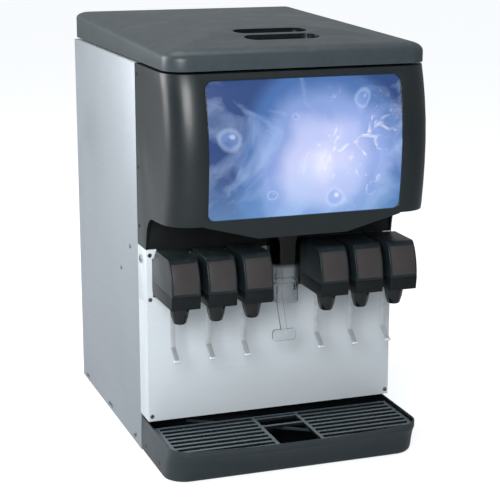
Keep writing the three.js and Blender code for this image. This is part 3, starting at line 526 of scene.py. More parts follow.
def relief_from(tree, shader, height, distance, strength=1.0):
    bump = tree.nodes.new("ShaderNodeBump")
    bump.inputs["Distance"].default_value = distance * MM
    bump.inputs["Strength"].default_value = strength
    tree.links.new(height, bump.inputs["Height"])
    tree.links.new(bump.outputs["Normal"], shader.inputs["Normal"])


# %% [markdown]
# ### Stainless sheet
# The cabinet is brushed stainless, light and slightly blue. The streaks change its tone a little and
# its roughness more, and wiped patches are smoother.


# %% Stainless
def stainless(name, color, fineness, mirror=0.4):
    """Brushed sheet. A finely brushed one scatters more light than it mirrors."""
    paint, tree, shader = finish(name, metallic=mirror, roughness=0.46)
    streaks = use(tree, brush, Fineness=fineness)
    wiped = use(tree, marks, Scale=7.0)
    dark = tuple(c * 0.93 for c in color)
    base = tint(tree, streaks.outputs["Tone"], dark, color)
    pale = tuple(min(1.0, c * 1.05) for c in color)
    half = math_node(tree, "MULTIPLY", streaks.outputs["Cloud"], 0.5)
    tree.links.new(tint(tree, half, base, pale), shader.inputs["Base Color"])
    rough = between(tree, streaks.outputs["Tone"], 0.5, 0.42)
    lower = math_node(tree, "MULTIPLY", wiped.outputs["Mask"], 0.06)
    tree.links.new(math_node(tree, "SUBTRACT", rough, lower), shader.inputs["Roughness"])
    relief_from(tree, shader, streaks.outputs["Height"], 0.02, 0.35)
    return paint


# Lit and shaded copies of one stainless: the splash's copy is painted lighter, as the light on it, and the
# copy for the sides and rear is painted darker, as the shade on them.
PANEL_STEEL_LIT = stainless("panel_steel_lit", (0.64, 0.7, 0.74), 1.0, 0.12)
SIDE_STEEL_SHADED = stainless("side_steel_shaded", (0.33, 0.365, 0.4), 1.0)
INNER_STEEL = stainless("inner_steel", (0.56, 0.58, 0.60), 0.6)

# %% [markdown]
# ### Moulded plastics
# The bonnet, lid, valve covers and tray are one family: grained plastic in a dark slate. They differ in tone,
# gloss and the size of the grain, so one function makes them all. Part of the difference in tone is painted
# light: the lid's copy is lighter, as light falls on its top, and the bonnet's darker, as its front is in
# shade. Edges that hands and cups rub are a little paler, and what faces up holds some dust.


# %% Moulded plastic
def moulded(name, color, roughness, grain_scale, depth, worn=0.1, dusty=0.06, shine=0.2):
    paint, tree, shader = finish(name, roughness=roughness, specular_ior_level=shine)
    texture = use(tree, grain, Scale=grain_scale)
    rubbed = use(tree, wear, Amount=worn)
    settled = use(tree, dust, Amount=dusty)
    hands = use(tree, marks, Scale=11.0)
    deep = tuple(c * 0.86 for c in color)
    base = tint(tree, texture.outputs["Tone"], deep, color)
    pale = tuple(min(1.0, c * 2.2 + 0.02) for c in color)
    base = tint(tree, rubbed.outputs["Mask"], base, pale)
    tree.links.new(tint(tree, settled.outputs["Mask"], base, (0.35, 0.36, 0.36)), shader.inputs["Base Color"])
    gloss = between(tree, hands.outputs["Mask"], roughness, roughness * 0.82)
    tree.links.new(gloss, shader.inputs["Roughness"])
    relief_from(tree, shader, texture.outputs["Height"], depth, 0.5)
    return paint


# The lid's colour is painted lighter, as light on its top, and the bonnet's darker, as shade on its front.
# Each line gives colour, roughness, grain scale and grain depth in mm, then wear, dust and shine if any.
LID_PLASTIC_LIT = moulded("lid_plastic_lit", (0.037, 0.053, 0.061), 0.4, 900.0, 0.16, shine=0.5)
BONNET_PLASTIC_SHADED = moulded("bonnet_plastic_shaded", (0.009, 0.0145, 0.017), 0.36, 1000.0, 0.08, shine=0.45)
VALVE_PLASTIC = moulded("valve_plastic", (0.013, 0.02, 0.023), 0.36, 1500.0, 0.05, shine=0.3)
TRAY_PLASTIC = moulded("tray_plastic", (0.03, 0.042, 0.048), 0.36, 1100.0, 0.08, 0.14, shine=0.32)
REST_PLASTIC = moulded("rest_plastic", (0.008, 0.011, 0.012), 0.3, 1300.0, 0.04, 0.1, 0.0, 0.4)
# Painted highlight: a lighter, bluer finish for the tops of the cup rest's bars and of the tray's bar.
REST_TOP_HIGHLIGHT = moulded("rest_top_highlight", (0.085, 0.115, 0.135), 0.26, 1300.0, 0.04, 0.1, 0.0, 0.5)
BLACK_PLASTIC = moulded("black_plastic", (0.007, 0.0095, 0.0105), 0.36, 1300.0, 0.05)
GLOSS_PLASTIC = moulded("gloss_plastic", (0.005, 0.007, 0.008), 0.09, 400.0, 0.01, 0.0, 0.0, 0.5)
PLATE_FILM = moulded("plate_film", (0.052, 0.047, 0.047), 0.34, 2600.0, 0.02, 0.0, 0.0)
WHITE_PLASTIC = moulded("white_plastic", (0.78, 0.79, 0.8), 0.4, 700.0, 0.05, 0.0, 0.05)
GREY_PLASTIC = moulded("grey_plastic", (0.22, 0.24, 0.26), 0.45, 900.0, 0.05)
GASKET_RUBBER = moulded("gasket_rubber", (0.008, 0.008, 0.009), 0.7, 500.0, 0.15, 0.0, 0.02)
PAINTED_STEEL = moulded("painted_steel", (0.01, 0.012, 0.013), 0.5, 420.0, 0.06)

# %% [markdown]
# ### Steels, trim foil and cast aluminium
# The key switch's collar is polished. The levers are satin strip, and their rolled tips are painted brighter
# as a highlight. Screw heads look darker than sheet, because they are small and mirror what is round them.
# The trim round the display is a dark foil. The cold plate is a raw casting: dull, mottled and rough.


# %% Metals
def metal(name, color, roughness, spread, relief, size, mirror=1.0):
    paint, tree, shader = finish(name, metallic=mirror, roughness=roughness)
    hands = use(tree, marks, Scale=size)
    texture = use(tree, grain, Scale=size * 40)
    dull = tuple(c * 0.8 for c in color)
    tree.links.new(tint(tree, hands.outputs["Mask"], color, dull), shader.inputs["Base Color"])
    rough = between(tree, hands.outputs["Mask"], roughness, roughness + spread)
    tree.links.new(rough, shader.inputs["Roughness"])
    relief_from(tree, shader, texture.outputs["Height"], relief, 0.4)
    return paint


# Each line gives colour, roughness and its spread, relief in mm, scale of marks, then mirroring if partial.
POLISHED = metal("polished_steel", (0.6, 0.63, 0.65), 0.3, 0.12, 0.01, 60.0)
LEVER_STEEL = metal("lever_steel", (0.54, 0.58, 0.61), 0.4, 0.1, 0.01, 60.0, 0.5)
# Painted highlight for the levers' rolled tips: a brighter, smoother steel.
LEVER_TIP_HIGHLIGHT = metal("lever_tip_highlight", (0.9, 0.94, 0.97), 0.16, 0.06, 0.01, 60.0, 0.4)
SCREW_STEEL = metal("screw_steel", (0.2, 0.22, 0.23), 0.28, 0.1, 0.01, 60.0)
TRIM_FOIL = metal("trim_foil", (0.085, 0.1, 0.105), 0.24, 0.08, 0.01, 30.0)
CASTING = metal("cast_aluminium", (0.5, 0.51, 0.52), 0.5, 0.2, 0.35, 22.0)

# %% [markdown]
# ### Clear plastic, foam and lamps
# The chute and its lever are clear acrylic or polycarbonate. Glass-like plastic shows itself only by
# its edges and highlights, so it needs a true wall and rounded edges more than it needs a texture. Seen
# along its surface it looks darker, because the light crosses more of it. The plastic ran into its
# mould, which leaves long faint waves from top to bottom, and splashes that dried leave a little haze.
# Foam is poured, so it is pale, open and lumpy.

# %% Clear plastic
# Painted shade: above the height below, in mm, the chute's colour turns dark, for the shaded space under the
# bonnet behind it.
SHADE_FOOT = 432
SHADE_FADE = 5
PAINTED_SHADE_COLOR = (0.012, 0.016, 0.018)
FLOW_STRETCH = 0.16


def clear_plastic(name, color, edge_color, edge_from, shaded_above=None):
    """Clear plastic that darkens at its edges, and that is painted dark above a height, as the shade under
    the bonnet behind it.
    """
    paint, tree, shader = finish(name, roughness=0.03, transmission_weight=1.0, ior=1.36)
    splashes = use(tree, marks, Scale=34.0)
    tree.links.new(between(tree, splashes.outputs["Mask"], 0.02, 0.09), shader.inputs["Roughness"])
    glancing = node(tree, "LayerWeight", blend=0.35).outputs["Facing"]
    base = tint(tree, stretch(tree, glancing, edge_from, edge_from + 0.45), color, edge_color)
    place = node(tree, "TexCoord").outputs["Object"]
    if shaded_above:
        height = node(tree, "SeparateXYZ", {"Vector": place}).outputs["Z"]
        shaded = stretch(tree, height, (shaded_above - SHADE_FADE) * MM, (shaded_above + SHADE_FADE) * MM)
        base = tint(tree, shaded, base, PAINTED_SHADE_COLOR)
    tree.links.new(base, shader.inputs["Base Color"])
    flow = node(tree, "Mapping", {"Vector": place})
    flow.inputs["Scale"].default_value = (1.0, 1.0, FLOW_STRETCH)
    ripple = node(tree, "TexNoise", {"Vector": flow.outputs[0]}, scale=62.0)
    relief_from(tree, shader, ripple.outputs[0], 1.6, 0.9)
    return paint


CUT_EDGE = (0.004, 0.006, 0.007)
# The chute gets painted shade above its height of shade; the lever gets none.
CHUTE_PLASTIC = clear_plastic("chute_plastic", (0.985, 0.992, 1.0), (0.6, 0.65, 0.68), 0.42, SHADE_FOOT)
LEVER_PLASTIC = clear_plastic("ice_lever_plastic", (0.97, 0.985, 0.99), CUT_EDGE, 0.12)
LEVER_EDGE = clear_plastic("ice_lever_edge", (0.03, 0.038, 0.042), CUT_EDGE, 0.12)

# %% Foam and lamps
FOAM, tree, shader = finish("poured_foam", roughness=0.9)
place = node(tree, "TexCoord").outputs["Object"]
cells = node(tree, "TexVoronoi", {"Vector": place}, scale=420.0)
lumps = node(tree, "TexNoise", {"Vector": place}, scale=16.0, detail=5.0)
skin = stretch(tree, lumps.outputs[0], 0.35, 0.65)
tree.links.new(tint(tree, skin, (0.72, 0.62, 0.4), (0.84, 0.77, 0.58)), shader.inputs["Base Color"])
relief_from(tree, shader, cells.outputs["Distance"], 0.8, 0.8)

LAMP, tree, shader = finish("lamp_glass", roughness=0.25, emission_strength=0.5)
phosphor = node(tree, "TexNoise", {"Vector": node(tree, "TexCoord").outputs["Object"]}, scale=45.0)
even = stretch(tree, phosphor.outputs[0], 0.3, 0.7)
white = tint(tree, even, (0.86, 0.88, 0.9), (0.95, 0.96, 0.97))
tree.links.new(white, shader.inputs["Base Color"])
tree.links.new(white, shader.inputs["Emission Color"])

# %% [markdown]
# ### The lit display
# The display is a printed translucent sheet over lamps. Its picture here is a plain study of cold
# water: deep blue at the edges, pale in the middle where the lamps are strongest, with wisps, a few
# bubbles and broken ice. It is drawn by nodes from the sheet's own place, in units of half its width.

# %% Display picture: coordinates and glow
screen_low, screen_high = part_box("display_panel")
screen_middle = (screen_low + screen_high) / 2
screen_half = (screen_high.x - screen_low.x) / 2
DISPLAY, tree, shader = finish(
    "display_picture",
    base_color=(0.02, 0.03, 0.06, 1),
    roughness=0.22,
    emission_strength=1.0,
)
place = node(tree, "TexCoord").outputs["Object"]
centred = node(tree, "Mapping", {"Vector": place}, vector_type="TEXTURE")
centred.inputs["Location"].default_value = (screen_middle.x, screen_middle.y, screen_middle.z)
centred.inputs["Scale"].default_value = (screen_half, 1000.0, screen_half)
sheet_place = centred.outputs[0]


def moved(vector, amount, scale):
    """Bends a coordinate by soft noise, as water bends what is seen through it."""
    swirl = node(tree, "TexNoise", {"Vector": vector}, scale=scale, detail=3.0)
    push_by = node(tree, "VectorMath", {0: swirl.outputs["Color"]}, operation="SUBTRACT")
    push_by.inputs[1].default_value = (0.5, 0.5, 0.5)
    sized = node(tree, "VectorMath", {0: push_by.outputs[0]}, operation="SCALE")
    sized.inputs["Scale"].default_value = amount
    added = node(tree, "VectorMath", {0: vector, 1: sized.outputs[0]}, operation="ADD")
    return added.outputs[0]


def distance_from(vector, x, z):
    apart = node(tree, "VectorMath", {0: vector}, operation="DISTANCE")
    apart.inputs[1].default_value = (x, 0, z)
    return apart.outputs["Value"]


def ring(distance, radius, width):
    """Bright on a circle and dark away from it."""
    off = math_node(tree, "ABSOLUTE", math_node(tree, "SUBTRACT", distance, radius))
    return math_node(tree, "SUBTRACT", 1.0, math_node(tree, "DIVIDE", off, width), clamp=True)


def weave(source, a, b):
    """Multiplies two masks."""
    return math_node(source, "MULTIPLY", a, b)


# %% Display picture: water
watery = moved(sheet_place, 0.5, 1.3)
deep_to_pale = node(tree, "ValToRGB", {"Fac": distance_from(watery, 0.2, -0.12)})
stops = deep_to_pale.color_ramp
stops.interpolation = "EASE"
stops.elements[0].color = (0.86, 0.84, 0.98, 1)
stops.elements[1].position = 1.0
stops.elements[1].color = (0.006, 0.034, 0.15, 1)
for at, color in ((0.3, (0.55, 0.59, 0.88, 1)), (0.56, (0.22, 0.32, 0.64, 1)), (0.8, (0.045, 0.13, 0.36, 1))):
    stops.elements.new(at).color = color
wisp = node(tree, "TexNoise", {"Vector": watery}, scale=1.5, detail=5.0, roughness=0.5, distortion=1.6)
wisp_mask = weave(tree, stretch(tree, wisp.outputs[0], 0.5, 0.74), 0.5)
picture = tint(tree, wisp_mask, deep_to_pale.outputs[0], (0.5, 0.66, 0.96))
low_down = node(tree, "SeparateXYZ", {"Vector": sheet_place}).outputs["Z"]
picture = tint(tree, weave(tree, stretch(tree, low_down, -0.2, -0.7), 0.4), picture, (0.2, 0.42, 0.72))

# %% Display picture: ice
near = moved(sheet_place, 0.16, 2.2)
facets = node(tree, "TexVoronoi", {"Vector": near}, feature="SMOOTH_F1")
facets.inputs["Scale"].default_value = 3.4
facets.inputs["Smoothness"].default_value = 0.3
patch = stretch(tree, distance_from(near, 0.5, -0.02), 0.66, 0.3)
shine = stretch(tree, facets.outputs["Distance"], 0.12, 0.5)
picture = tint(tree, weave(tree, weave(tree, shine, patch), 0.38), picture, (0.36, 0.46, 0.86))
glint = node(tree, "TexNoise", {"Vector": near}, scale=5.2, detail=6.0, roughness=0.6, distortion=1.9)
glints = weave(tree, stretch(tree, glint.outputs[0], 0.57, 0.7), patch)
picture = tint(tree, weave(tree, glints, 0.75), picture, (0.94, 0.95, 1.0))

# %% Display picture: bubbles
BUBBLES = (  # across, up, radius
    (-0.34, -0.44, 0.05),
    (-0.8, 0.12, 0.1),
    (0.58, 0.46, 0.07),
    (-0.12, 0.3, 0.03),
    (0.3, -0.5, 0.09),
)
for x, z, radius in BUBBLES:
    away = distance_from(near, x, z)
    body = stretch(tree, away, radius, radius * 0.8)
    picture = tint(tree, weave(tree, body, 0.35), picture, (0.16, 0.3, 0.72))
    picture = tint(tree, weave(tree, ring(away, radius, radius * 0.34), 0.3), picture, (0.62, 0.76, 1.0))
    spark = stretch(tree, distance_from(near, x + radius * 0.25, z + radius * 0.3), radius * 0.4, 0.0)
    picture = tint(tree, weave(tree, spark, 0.85), picture, (0.95, 0.97, 1.0))
tree.links.new(picture, shader.inputs["Emission Color"])
print("finishes:", len(bpy.data.materials))

# %% [markdown]
# ### Floor
# The floor is a plain pale sheet with faint clouds in it. It glows enough to look white to the camera,
# and far less to everything else, so that it doesn't light the machine from below.

# %% Paint the floor
FLOOR_GLOW_AS_LIGHT = 0.06
FLOOR_GLOW_AS_SEEN = 0.8
floor_paint, tree, shader = finish("floor_paint", roughness=0.8, specular_ior_level=0.1)
speckle = node(tree, "TexNoise", {"Vector": node(tree, "TexCoord").outputs["Object"]}, scale=3.0)
soft = stretch(tree, speckle.outputs[0], 0.2, 0.8)
tree.links.new(tint(tree, soft, (0.42, 0.43, 0.44), (0.45, 0.455, 0.46)), shader.inputs["Base Color"])
shader.inputs["Emission Color"].default_value = (0.97, 0.985, 1.0, 1)
is_seen = node(tree, "LightPath").outputs["Is Camera Ray"]
glow = between(tree, is_seen, FLOOR_GLOW_AS_LIGHT, FLOOR_GLOW_AS_SEEN)
tree.links.new(glow, shader.inputs["Emission Strength"])
floor.data.materials.append(floor_paint)

# %% [markdown]
# ## The lid
# The lid is one large moulding: a shallow pan turned over, with broad soft edges, a top that rises a
# little to the middle so that water runs off, and a handle sunk into it. It could be cut from a dense
# mesh by sculpting. Extruding its outline through rings keeps every section exact: the rings climb the
# side, roll over the edge and then shrink towards the crown. The hollow is a second, smaller form of the
# same rings, taken out of the first.

# %% Extruding a face through rings
def loft(name, rings):
    """Extrudes a face from ring to ring and puts each new ring's points where they belong."""
    let_go()
    bpy.ops.mesh.primitive_circle_add(vertices=len(rings[0]), radius=1, fill_type="NGON")
    piece = bpy.context.object
    piece.name = name
    for number, ring in enumerate(rings):
        if number:
            bpy.ops.object.mode_set(mode="EDIT")
            bpy.ops.mesh.select_mode(type="FACE")
            push(0, 0, 1)
            bpy.ops.object.mode_set(mode="OBJECT")
        else:
            pick_all(piece)
            bpy.ops.object.mode_set(mode="OBJECT")
        face = next(f for f in piece.data.polygons if f.select)
        for index, point in zip(face.vertices, ring):
            piece.data.vertices[index].co = mm(*point)
    pick_all(piece)
    bpy.ops.mesh.normals_make_consistent(inside=False)
    let_go()
    return piece


def arc(centre, radius, start, stop, steps):
    """Points of an arc, its angles in degrees."""
    turns = [math.radians(start + (stop - start) * i / steps) for i in range(steps + 1)]
    return [(centre[0] + radius * math.cos(t), centre[1] + radius * math.sin(t)) for t in turns]


# %% Lid: its outline at any inset
LID_BOTTOM = 851
LID_SIDE_TOP = (872, 897)  # at the front and at the rear
LID_RIM = (891.5, 913)  # the inner edge of the rolled part
LID_CORNER = 45
LID_REAR_CORNER = 18
LID_WALL = 3.5
ROLL_WIDTH = 40
APEX = (0, 16, lid_high.z)


def lid_outline(inwards):
    half, front, rear = lid_high.x - inwards, lid_low.y + inwards, lid_high.y - inwards
    wide, narrow = max(LID_CORNER - inwards, 4), max(LID_REAR_CORNER - inwards, 3)
    return [
        *arc((half - narrow, rear - narrow), narrow, 0, 90, 6),
        *arc((-half + narrow, rear - narrow), narrow, 90, 180, 6),
        *arc((-half + wide, front + wide), wide, 180, 270, 12),
        *arc((half - wide, front + wide), wide, 270, 360, 12),
    ]


def along_depth(ends, y):
    share = (y - lid_low.y) / (lid_high.y - lid_low.y)
    return ends[0] + (ends[1] - ends[0]) * share


# %% Lid: rings of the side, the rolled edge and the crown
ROLL_STEPS = 8
CROWN_STEPS = (0.86, 0.72, 0.58, 0.44, 0.3, 0.16, 0.02)


def lid_rings(inwards, drop):
    rings = [[(x, y, LID_BOTTOM - (1 if drop else 0)) for x, y in lid_outline(inwards)]]
    for step in range(ROLL_STEPS + 1):
        angle = math.pi / 2 * step / ROLL_STEPS
        inset_here = inwards + (ROLL_WIDTH - inwards) * (1 - math.cos(angle))
        ring = []
        for x, y in lid_outline(inset_here):
            low, high = along_depth(LID_SIDE_TOP, y), along_depth(LID_RIM, y)
            ring.append((x, y, low + (high - low) * math.sin(angle) - drop))
        rings.append(ring)
    top = APEX[2] - drop
    for left in CROWN_STEPS:
        crown = []
        for x, y, z in ring:
            crown.append((x * left, APEX[1] + (y - APEX[1]) * left, top + (z - top) * left**2))
        rings.append(crown)
    return rings


lid = loft("lid_shell", lid_rings(0, 0))
carve(lid, loft("hollow", lid_rings(LID_WALL, LID_WALL)))
print("lid top at", round(max(v.co.z for v in lid.data.vertices) / MM, 1), "mm")

# %% [markdown]
# ### The sunk handle
# Two finger pockets with a bar of the top left between them make the handle. The pockets need a tub
# below, so a block is welded to the shell first, and round-ended slots are then taken out of it, with a
# passage under the bar. A boolean is the plain way to cut holes with round ends in a crowned top.


# %% Lid: tub, pockets and passage
def weld(piece, tool):
    union = piece.modifiers.new("weld", "BOOLEAN")
    union.operation = "UNION"
    union.solver = "EXACT"
    union.object = tool
    apply_all(piece)
    bpy.data.objects.remove(tool)


POCKET_HALF = 80
POCKET_DEPTH = 55
POCKETS = (-187, -260)
POCKET_FLOOR = 876
TUB_RIM = 5
TUB_TOP = 895
TUB_RISE = 12.5  # how much higher its rear edge stands, as the slope of the lid does
GRIP_UNDERSIDE = 891
ABOVE_ALL = 930

half = POCKET_DEPTH / 2
tub = block(
    "tub",
    (-POCKET_HALF - TUB_RIM, POCKETS[1] - half - TUB_RIM, POCKET_FLOOR - LID_WALL),
    (POCKET_HALF + TUB_RIM, POCKETS[0] + half + TUB_RIM, TUB_TOP),
)
pick(tub, "VERT", lambda at: at.y > POCKETS[0] and at.z > TUB_TOP - 1)
shift(0, 0, TUB_RISE)
weld(lid, tub)
for y in POCKETS:
    slot_tool = block("slot", (-POCKET_HALF, y - half, POCKET_FLOOR), (POCKET_HALF, y + half, ABOVE_ALL))
    pick(slot_tool, "EDGE", lambda at, way: abs(way.z) > 0.9)
    round_edges(half - 1, 8)
    carve(lid, slot_tool)
reach = POCKET_HALF - half
carve(lid, block("passage", (-reach, POCKETS[1], POCKET_FLOOR), (reach, POCKETS[0], GRIP_UNDERSIDE)))
print("lid with its handle:", len(lid.data.polygons), "faces")

# %% [markdown]
# ### Hinge lugs
# The lid turns on two pins near its rear edge. Each pin runs through a lug: a round knuckle with a strap
# that carries it up into the lid. The lid's wall is notched round it, to leave room for the bracket that
# holds the pin. Lug and notch are plain forms, so a bar, two blocks and booleans are enough.

# %% Lid: hinge lugs and notches
HINGE = (402, 853)
HINGE_X = 180
KNUCKLE = 4.5
BORE = 2.3
LUG_HALF = 10
STRAP_HIGH = 26
NOTCH_HALF = 22.5
NOTCH_DEEP = 8
NOTCH_TOP = 863
lugs = []
for x in (-HINGE_X, HINGE_X):
    notch = block(
        "notch",
        (x - NOTCH_HALF, HINGE[0] - NOTCH_DEEP, LID_BOTTOM - 1),
        (x + NOTCH_HALF, lid_high.y + 1, NOTCH_TOP),
    )
    carve(lid, notch)
    lugs.append(rod("knuckle", "x", KNUCKLE, (x - LUG_HALF, *HINGE), 2 * LUG_HALF, 24))
    strap = block(
        "strap",
        (x - LUG_HALF, HINGE[0] - KNUCKLE, HINGE[1]),
        (x + LUG_HALF, lid_high.y - 1.2, HINGE[1] + STRAP_HIGH),
    )
    lugs.append(strap)
bores = [
    rod("bore", "x", BORE, (x - LUG_HALF - 1, *HINGE), 2 * LUG_HALF + 2, 20)
    for x in (-HINGE_X, HINGE_X)
]
for lug in lugs:
    soften(lug, 0.8)
lug_set = joined("lug_set", lugs)
for bore in bores:
    carve(lug_set, bore)
soften(lid, 1.6, 3, 42)
lid = joined("lid_moulding", [lid, lug_set])
hand_over(lid, LID_PLASTIC_LIT, "lid", ("lid",))


# Painted shade: the walls of the handle's pockets get a black finish, for the shadow inside the pockets.
def pocket_wall_in_shade(at, normal):
    across = abs(at.x) < POCKET_HALF + 2
    along = POCKETS[1] - half - 2 < at.y < POCKETS[0] + half + 2
    return across and along and POCKET_FLOOR < at.z < APEX[2] and abs(normal.z) < 0.5


also_paint(lid, BLACK_PLASTIC, pocket_wall_in_shade)

# %% [markdown]
# ## Moulded bonnet and small mouldings
# The bonnet wraps the front in one piece, from the lid down to a lip that droops in the middle. Its
# face is gently bowed and its side openings are curved. The frame's node has all of that already, so a
# fine copy with moulded edge radii is better than a second guess at the same curves. The cup rest, the
# cord gland and the covers of the valves are made in the same way.

# %% Bonnet, cup rest and gland
moulded_copies = (
    ("bonnet", "bonnet_moulding", 1.5, BONNET_PLASTIC_SHADED, "cabinet", "slate_plastic"),
    ("cup_rest", "cup_rest_grille", 0.9, REST_PLASTIC, "cup_rest", "black_plastic"),
    ("cord_gland", "cord_gland_moulding", 0.6, BLACK_PLASTIC, "cabinet", "black_plastic"),
)
for source, name, edge, paint, body, finish_slot in moulded_copies:
    hand_over(fine(source, name, edge, 3, 0.3), paint, body, (source,))

rest_top = corners("cup_rest")[1].z


# Painted highlight: the tops of the cup rest's bars get a lighter bluish finish, for the light they catch.
def top_of_the_rest(at, normal):
    return at.z > rest_top - 1 and normal.z > 0.9


also_paint(bpy.data.objects["cup_rest_grille"], REST_TOP_HIGHLIGHT, top_of_the_rest)

# %% [markdown]
# ## Drip tray
# The tray is a deep moulded pan with a rolled rim. Its front bows forward and pulls in towards the counter.
# Rings at a few heights give that profile. The pan is taken out in three steps: a wide one for the cup rest,
# its ledge, and a narrower sump. A thin bar crosses the sump from wall to wall under the cup rest. The inside
# of the pan and the top of its rim are painted black, as painted shade for the shade under and around the cup
# rest, and the bar's top is painted lighter as a highlight.

# %% Tray: outline with a bowed front
TRAY_REAR = -142.3
TRAY_RIM = {"z": 78, "half": 277, "front": -389, "corner": 47}
TRAY_WALL = 3.5
TRAY_FLOOR = 20
REST_LEDGE = 65.7
RIB = {"from": -240, "to": 195, "half": 1.8, "low": 56, "top": 61, "lean": -32, "at": (18, -276)}
DRAIN = {"half": 14, "rear": 12, "front": 40, "radius": 6.8, "z": 18, "deep": 12}


def bowed(half, front, rear, radius, bow):
    flat = half - radius
    spread = [-flat + 2 * flat * i / 20 for i in range(1, 20)]
    return [
        (half, rear),
        (-half, rear),
        *arc((-half + radius, front + radius), radius, 180, 262, 9),
        *[(x, front - bow * (1 - (x / flat) ** 2)) for x in spread],
        *arc((half - radius, front + radius), radius, 278, 360, 9),
    ]


# %% Tray: outer form, pan, rib and drain
TRAY_PROFILE = (  # height, how far behind the rim, bow, half width
    (0, 37, 0, 276.5),
    (2.5, 31, 0, 278.4),
    (7, 26, 0, 279.2),
    (14, 22.5, 0.5, 279.3),
    (28, 19.5, 3, 279.2),
    (42, 15, 7, 279),
    (52, 10, 11, 278.4),
    (60, 4.5, 14.5, 277.8),
    (64, 1.2, 16.2, 277.3),
    (69, 0, 16.6, 277),
    (78, 0, 16.6, 277),
)


def tray_step(inwards, behind, bow, low, high):
    outline = bowed(
        TRAY_RIM["half"] - inwards,
        TRAY_RIM["front"] + behind,
        TRAY_REAR - inwards,
        TRAY_RIM["corner"] - TRAY_WALL,
        bow,
    )
    return loft("tray_step", [[(x, y, z) for x, y in outline] for z in (low, high)])


rings = []
for z, behind, bow, half in TRAY_PROFILE:
    outline = bowed(half, TRAY_RIM["front"] + behind, TRAY_REAR, TRAY_RIM["corner"], bow)
    rings.append([(x, y, z) for x, y in outline])
tray = loft("tray_moulding", rings)
carve(tray, tray_step(TRAY_WALL, TRAY_WALL, 15.6, REST_LEDGE, TRAY_RIM["z"] + 1))
carve(tray, tray_step(12, 16, 9.5, 50, REST_LEDGE + 1))
carve(tray, tray_step(12, 27, 1.5, TRAY_FLOOR, 51))
rib = block("rib", (RIB["from"], -RIB["half"], RIB["low"]), (RIB["to"], RIB["half"], RIB["top"]))
pick_all(rib)
bpy.ops.object.mode_set(mode="OBJECT")
lean = math.radians(RIB["lean"])
for vertex in rib.data.vertices:
    x, y = vertex.co.x, vertex.co.y
    vertex.co.x = x * math.cos(lean) - y * math.sin(lean) + RIB["at"][0] * MM
    vertex.co.y = x * math.sin(lean) + y * math.cos(lean) + RIB["at"][1] * MM
weld(tray, rib)
sump = block(
    "sump",
    (-DRAIN["half"], TRAY_REAR - DRAIN["front"], TRAY_FLOOR - DRAIN["deep"]),
    (DRAIN["half"], TRAY_REAR - DRAIN["rear"], TRAY_FLOOR + 1),
)
carve(tray, sump)
drain_from = (0, TRAY_REAR - DRAIN["front"], DRAIN["z"])
carve(tray, rod("drain_hole", "y", DRAIN["radius"], drain_from, DRAIN["front"] + 5, 28))
pick_all(tray)
bpy.ops.mesh.remove_doubles(threshold=0.3 * MM)
bpy.ops.object.mode_set(mode="OBJECT")
soften(tray, 1.1, 3, 42)
hand_over(tray, TRAY_PLASTIC, "cabinet", ("drip_tray",))
pan_middle = (TRAY_REAR + TRAY_RIM["front"]) / 2


# Painted shade: the inside of the pan and the top of its rim get a black finish, for the shade under and
# around the cup rest.
def shaded_pan_inside(at, normal):
    return at.z > TRAY_FLOOR - 1 and (normal.z > 0.6 or normal.x * at.x + normal.y * (at.y - pan_middle) < 0)


also_paint(tray, GLOSS_PLASTIC, shaded_pan_inside)
# Painted highlight: the top of the tray's bar gets the same lighter finish as the cup rest's tops.
also_paint(tray, REST_TOP_HIGHLIGHT, lambda at, normal: abs(at.z - RIB["top"]) < 1 and normal.z > 0.9)

# %% [markdown]
# ## Stainless skin
# The cabinet's sides, splash and rear are bent from sheet. A cut edge of sheet is deburred, not rounded,
# so its bevel is small. Where two sheets meet, the small bevels make the fine line that shows a seam.

# %% Sheet metal copies
for paint, sources in (
    (SIDE_STEEL_SHADED, ("side_panel_left", "side_panel_right", "rear_panel")),
    (PANEL_STEEL_LIT, ("splash_panel", "valve_panel", "base_pan")),
):
    for source in sources:
        hand_over(fine(source, source + "_sheet", 0.5, 2, 0.5), paint, "cabinet", (source,))
hand_over(fine("ice_bin", "ice_bin_liner", 1.0, 2, 0.5), INNER_STEEL, "cabinet", ("ice_bin",))

# %% [markdown]
# ### Screws
# Pan-head screws hold the panels. A head is a low dome with a cross recess, modelled once: a short
# cylinder, its top edge rolled over by a bevel, and a cross taken out of it. Each further screw is a
# copy with its own mesh, turned to face outwards.


# %% One screw head, then its copies
HEAD = {"radius": 4.6, "high": 1.9, "recess": 0.9}


def screw_head(name):
    head = rod(name, "z", HEAD["radius"], (0, 0, 0), HEAD["high"], 24)
    pick(head, "EDGE", lambda at, way: at.z > HEAD["high"] - 0.1)
    round_edges(1.3, 4)
    for long, thin in ((2.4, 0.55), (0.55, 2.4)):
        low = HEAD["high"] - HEAD["recess"]
        carve(head, block("bit", (-long, -thin, low), (long, thin, HEAD["high"] + 1)))
    return head


FACINGS = {
    "left": lambda p: Vector((-p.z, p.x, p.y)),
    "right": lambda p: Vector((p.z, p.x, p.y)),
    "front": lambda p: Vector((p.x, -p.z, p.y)),
    "rear": lambda p: Vector((p.x, p.z, p.y)),
}


def screws(name, places, body, squeeze=1.0, paint=SCREW_STEEL):
    """Copies of one head at (facing, x, y, z) places, joined as one piece."""
    made = []
    first = screw_head("head")
    for facing, *place in places:
        copy = twin(first, "head_copy")
        for vertex in copy.data.vertices:
            point = Vector((vertex.co.x, vertex.co.y, vertex.co.z * squeeze))
            vertex.co = FACINGS[facing](point) + mm(*place)
        made.append(copy)
    bpy.data.objects.remove(first)
    piece = joined(name, made)
    return hand_over(piece, paint, body, outwards=True)


